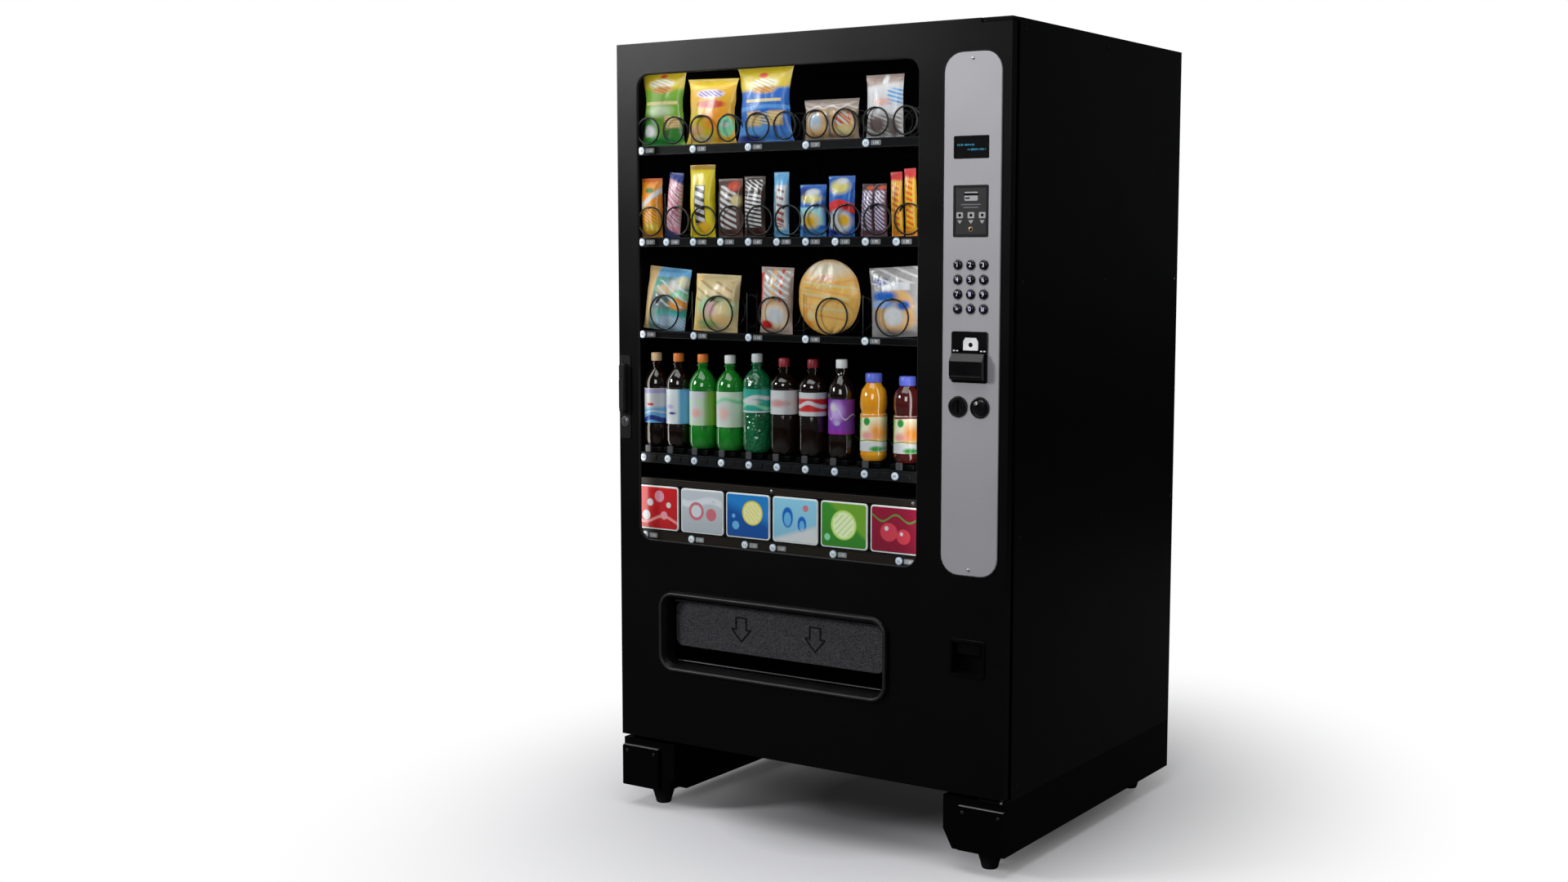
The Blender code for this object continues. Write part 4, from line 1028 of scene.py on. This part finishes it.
# ------------------------------------------------------------------ payment column
def keypad():
    """Domed key caps with their figures, which stand for the CAD keys, and the collars round them."""
    r = 10.2
    dome = ((r, 10.2), (r, 3.6), (9.8, 2.2), (8.6, 1), (6.4, 0.25), (3.2, -0.02))
    for name, text in [(c, c) for c in "123456789"] + [("star", "*"), ("0", "0"), ("hash", "#")]:
        node = "key_" + name
        lo, hi = span(node)
        cx, cz, front = (lo[0] + hi[0]) / 2, (lo[2] + hi[2]) / 2, lo[1]
        m = Mesh()
        m.add(disc(cx, cz, [(a, front + d) for a, d in dome], 36))
        verts, faces = figure(text, 14 if text != "*" else 18)
        drop = 3 if text == "*" else 0
        pts = []
        for x, z in verts:
            far = math.hypot(x, z - drop)
            pts.append(P(cx + x, front - 0.22 + (far / r) ** 2 * 0.8, cz + z - drop))
        m.add((pts, faces), 1)
        obj = m.make(node + "_cap", node, [GLOSS, FIGURE], "key_black", smooth=50)
        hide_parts(node)
    m = Mesh()
    around = ((10.75, -1.9), (12.4, -1.9), (12, -2.7), (11.1, -2.7))
    for x in (930.4, 961.6, 992.8):
        for z in (1287, 1255.6, 1224.4, 1193.2):
            m.add(collar(x, z, around, 32))
    m.make("key_collars", "door", [SILVER_EDGE], "silver", smooth=50)


keypad()


def screens():
    """Dashes on the display and plain icons on the information panel."""
    m = Mesh()
    m.add(slab((922.4, 997.6, 1516.9, 1555.1, 0.8), -0.2, 0.4, 0.1, 2))
    random.seed(5)
    for z, x, end in ((1541, 925, 966), (1531, 950, 993)):
        while x < end:
            wide = random.choice((1.2, 1.8, 2.4))
            tall = random.choice((2.8, 3.8, 4.6))
            m.add(slab((x, x + wide, z - tall / 2, z + tall / 2, 0.3), -0.45, -0.1, 0.1, 1), 1)
            x += wide + random.choice((0.9, 1.1, 2.6))
    m.make("display_lines", "door", [GLOSS, CYAN], "satin_black", smooth=30)
    m = Mesh()
    m.add(slab((923.5, 996.5, 1352, 1450, 0.8), -1.1, -0.4, 0.1, 2), 4)
    face = -1.2
    m.add(slab((944, 976, 1423, 1442, 3), face - 0.2, face + 0.2, 0.1, 4), 1)
    m.add(slab((942.6, 977.4, 1434, 1439, 0.5), face - 0.35, face - 0.1, 0.1, 1))
    m.add(slab((945, 957, 1427, 1430, 0.5), face - 0.35, face - 0.1, 0.1, 1))
    for z, x0, x1 in ((1415, 936, 984), (1409, 942, 978)):
        m.add(slab((x0, x1, z - 1.2, z + 1.2, 0.8), face - 0.15, face + 0.1, 0.1, 2), 3)
    for cx in (933, 960, 987):
        m.add(slab((cx - 8, cx + 8, 1386, 1399, 2), face - 0.2, face + 0.2, 0.1, 3), 1)
        m.add(disc(cx, 1392.5, ((3.4, face), (3.4, face - 0.35), (3, face - 0.4)), 20))
        tip = ((cx - 6, 1382), (cx + 6, 1382), (cx, 1374))
        m.add(loft([[P(x, d, z) for x, z in tip] for d in (face + 0.2, face - 0.2)]), 1)
    m.add(disc(960, 1363, ((5, face), (5, face - 0.3), (4.6, face - 0.4)), 24), 2)
    m.add(disc(960, 1363, ((3.4, face - 0.3), (3.4, face - 0.5), (3.2, face - 0.6)), 24))
    m.make("info_icons", "door", [GLOSS, ICON, COIN, TAG, CARD], "satin_black", smooth=30)


screens()


def payment():
    """Marks and trims of the note slot, coin slot, coin cup and silver panel."""
    m = Mesh()
    note = [(946, 1105), (982, 1105), (982, 1124), (977, 1132), (951, 1132), (946, 1124)]
    loops = [[P(x, d, z) for x, z in note] for d in (-4, -4.7)]
    m.add(loft(loops))
    m.add(disc(964, 1117, ((5, -4.6), (5, -5), (4.6, -5.1)), 20), 1)
    for x in (921, 929, 987, 995):
        m.add(slab((x, x + 5, 1102.4, 1105.2, 0.5), -4.6, -4, 0.1, 1))
    for x in (917.2, 1001.8):
        m.add(slab((x, x + 2, 1038, 1143, 0.6), -4.9, -3.8, 0.2, 1), 2)
    m.add(slab((923, 998, 1048, 1051, 1), -22, -20.5, 0.4, 2), 2)
    m.make("note_marks", "door", [PALE, GLOSS, SATIN], "satin_black", smooth=30)
    m = Mesh()
    ring = ((22.6, -1.9), (23.4, -2.6), (22.8, -4.6), (20.6, -5.2), (19.6, -4.4), (19.3, -2))
    for cx in (933.6, 986.4):
        m.add(collar(cx, 983, ring, 44))
    m.make("coin_bezels", "door", [SATIN], "satin_black", smooth=50)
    m = Mesh()
    lip = ((-0.2, 1.2), (-2.2, 1.4), (-3.2, 0.4), (-3.2, -0.8), (-0.4, -1.2))
    m.add(rim((918, 1003, 392, 474, 8), lip, 6))
    m.add(slab((931, 989, 440, 468, 3), 8, 10, 0.8, 3))
    m.make("cup_rim", "door", [CASE], "satin_black", smooth=40)
    m = Mesh()
    for x, z in ((962.6, 1722), (962.6, 629)):
        m.add(disc(x, z, ((3.6, -1.9), (3.6, -2.8), (2.4, -3.5)), 18))
    edge = ((-0.1, 1.6), (-1.2, 1.7), (-1.5, 0.9), (-0.6, 0.2))
    m.add(rim((893.6, 1031.6, 615.6, 1735.6, 42), edge, 10), 1)
    m.make("panel_trim", "door", [SILVER_EDGE, SATIN], "silver", smooth=50)


payment()


# ------------------------------------------------------------------ window trim, lock, port and skids
def window_and_lock():
    """Bead round the pane, and the ring, mark and grip of the lock."""
    m = Mesh()
    bead = ((5.8, 0.2), (1.2, 0.3), (0.2, -0.6), (0.8, -2), (5.6, -3))
    m.add(rim((58, 832, 619, 1733, 35), bead, 10))
    m.make("window_bead", "door", [RUBBER], "rubber", smooth=50)
    m = Mesh()
    m.add(slab((13, 24, 1046, 1049.5, 0.5), -2.6, -1.6, 0.2, 1))
    ring = ((9.6, -1.9), (12.4, -2), (11.8, -4), (9.8, -4.2))
    m.add(collar(18.5, 905, ring, 32), 1)
    m.make("lock_ring", "door", [GLOSS, CHROME], "steel", smooth=40)
    m = Mesh()
    m.add(slab((11.5, 25.5, 934, 1010, 6), -18.2, -16.4, 0.9, 5))
    m.make("handle_grip", "lock_handle", [RUBBER], "rubber", smooth=40)


def delivery_port():
    """Raised arrow outlines on the flap, and the lip and sill round the port; the sill is a grey strip
    painted as a highlight on the inner lip.
    """
    t, top, shoulder, tip, stem, wing = 3, 453, 425, 392, 16, 30
    head = (33 - 2.4865 * t) / 1.1
    out = [(-stem, top), (stem, top), (stem, shoulder), (wing, shoulder), (0, tip), (-wing, shoulder),
        (-stem, shoulder)]
    ins = [(t - stem, top - t), (stem - t, top - t), (stem - t, shoulder - t), (head, shoulder - t),
        (0, tip + 1.4865 * t), (-head, shoulder - t), (t - stem, shoulder - t)]
    m = Mesh()
    for cx in (341, 549.5):
        turns = ((25.4, out), (24.4, out), (24.4, ins), (25.4, ins))
        m.add(loft([[P(cx + x, d, z) for x, z in pts] for d, pts in turns], ring=True))
    m.make("flap_arrows", "delivery_flap", [GLOSS], "satin_black", smooth=30)
    m = Mesh()
    # Thin grey strip at the bottom of the opening: a painted highlight on the port's inner lip.
    m.add(slab((150, 731, 325.5, 327.6, 0.6), 31, 36, 0.4, 2))
    lip = ((-9.4, -2.4), (-10.6, -3.8), (-11.1, -6), (-10.4, -8.2), (-9.2, -9.4))
    m.add(rim((120, 761, 305, 501, 42), lip, 10), 1)
    m.make("port_lip", "door", [EDGE_GREY, SATIN_RIM], "satin_black", smooth=50)


def corners():
    """Cover over the upper hinge, washers of both hinges, and bright edges and screws of the skid covers;
    the bright edges are light strips painted as highlights.
    """
    m = Mesh()
    m.add(slab((983, 1053.2, 1795.1, 1804.5, 1), 1.5, 35.6, 0.8, 2))
    m.make("hinge_cover_top", "cabinet", [BLACK], "body_black", smooth=30)
    m = Mesh()
    # Light strips along the skid covers' top edges: painted highlights.
    for x0, x1 in ((1, 108), (942, 1052)):
        m.add(slab((x0, x1, 101.4, 102.9, 0.5), 0.4, 7.4, 0.4, 2))
    for x in (14, 96, 952, 1040):
        m.add(disc(x, 88, ((4.2, 0.2), (4.2, -0.6), (3, -1.3)), 18), 1)
    m.make("cover_edges", "cabinet", [EDGE_HIGHLIGHT, SATIN], "steel", smooth=30)
    m = Mesh()
    for z in (125, 1799):
        m.add(stud(1040.5, 18, ((8.5, z - 0.8), (8.5, z + 1.8), (5.5, z + 2.8)), 24))
    m.add(slab((1044, 1050, 121.5, 125.5, 0.8), -0.2, 1.4, 0.3, 2))
    m.make("hinge_washers", "cabinet", [CHROME], "steel", smooth=40)


window_and_lock()
delivery_port()
corners()


# ------------------------------------------------------------------ back, sides and inside
def rear():
    """Louvres, ribs and screws of the back, the fan's guard and the inlet's frame and pins."""
    back = span("back_panel")[1][1]
    m = Mesh()
    for z in (1500, 1530, 1560, 1590, 1620, 210, 235, 260):
        for x0 in (150, 400, 650) if z > 1000 else (250, 350):
            x1 = x0 + (180 if z > 1000 else 80)
            base = [P(x0, back, z), P(x1, back, z), P(x1, back, z + 16), P(x0, back, z + 16)]
            ridge = [P(x1 - 8, back + 3.6, z + 3), P(x0 + 8, back + 3.6, z + 3)]
            m.add((base + ridge, [(0, 1, 4, 5), (1, 2, 4), (3, 0, 5), (2, 3, 5, 4), (0, 3, 2, 1)]))
    for x in (40, 280, 526, 772, 1012):
        for z in (160, 560, 960, 1360, 1765):
            m.add(disc(x, z, ((5.2, back - 0.2), (5.2, back + 1.6), (3.4, back + 2.8)), 16), 1)
    for x in (180, 526, 872):
        m.add(slab((x - 4, x + 4, 700, 1440, 3), back - 0.3, back + 2.2, 0.8, 3))
    m.make("rear_pressings", "cabinet", [GALV, ZINC], "galvanised", smooth=35)
    m = Mesh()
    fan_x, fan_z = 640, 330
    for r in (22, 40, 58, 76, 94, 110):
        m.add(tube(circle(fan_x, fan_z, r, back + 1.5, 48), 0.0014, 6, True))
    for k in range(8):
        a = TAU * k / 8 + 0.2
        spoke = [P(fan_x + r * math.cos(a), back + 1.2, fan_z + r * math.sin(a)) for r in (18, 60, 116)]
        m.add(tube(spoke, 0.0016, 6))
    m.add(disc(fan_x, fan_z, ((20, back), (20, back + 2.2), (17, back + 3)), 28))
    m.make("fan_guard", "cabinet", [WIRE_BRIGHT], "steel", smooth=60)
    m = Mesh()
    edge = ((-0.2, 4), (1.4, 4), (2, 3), (2, 0), (-1.5, -0.5))
    m.add(rim((146, 214, 186, 234, 4), [(back + d, g) for d, g in edge], 4))
    for x in (171, 179, 187):
        m.add(slab((x - 1.2, x + 1.2, 206, 214, 0.5), back - 13, back - 5, 0.3, 1), 1)
    m.make("inlet_frame", "cabinet", [SATIN, ZINC], "satin_black", smooth=35)


rear()


def casing():
    """Screws and seams of the top and sides, and the rails and the lining inside."""
    top = span("top_panel")[1][2]
    m = Mesh()
    for x in (60, 300, 526, 752, 990):
        for d in (70, 480, 880):
            m.add(stud(x, d, ((5, top - 0.2), (5, top + 1), (3.2, top + 2)), 18))
    for d0, d1 in ((36.5, 37.6), (912.5, 913.8)):
        rim = ((20.5, d0), (1022.5, d0), (1022.5, d1), (20.5, d1))
        m.add(loft([[P(x, d, h) for x, d in rim] for h in (top - 0.3, top + 0.15)]))
    m.make("top_screws", "cabinet", [SATIN], "satin_black", smooth=40)
    m = Mesh()
    head = ((4.6, -0.2), (4.6, 0.8), (3, 1.5))
    for x, way in ((0, -1), (1053, 1)):
        for d in (60, 480, 895):
            for z in (150, 700, 1250, 1780):
                m.add(loft([[P(x + way * h, d + r * c, z + r * s) for c, s in steps(16)] for r, h in head]))
    m.make("side_screws", "cabinet", [SATIN], "satin_black", smooth=40)
    m = Mesh()
    for k in range(1, 5):
        under = TRAY_ROWS[k][3] + RAIL_H[k] - 3.4
        for foot, web in (((20.2, 34), (20.2, 21.8)), ((828.5, 842.6), (841, 842.6))):
            m.add(slab((*foot, under - 1.6, under, 0.3), 56, 640, 0.2, 1))
            m.add(slab((*web, under - 13, under - 1, 0.3), 56, 640, 0.2, 1))
    m.make("tray_runners", "cabinet", [WIRE], "steel", smooth=30)
    skin = span("back_panel")[0][1]
    m = Mesh()
    m.add(slab((20.5, 842.5, 562, 1784, 2), skin - 2.4, skin - 0.3, 0.5, 1))
    for z in (700, 1000, 1300, 1600):
        m.add(slab((60, 800, z, z + 12, 5), skin - 6, skin - 2, 1.5, 3))
    m.make("liner_back", "cabinet", [LINER], "body_black", smooth=30)


casing()
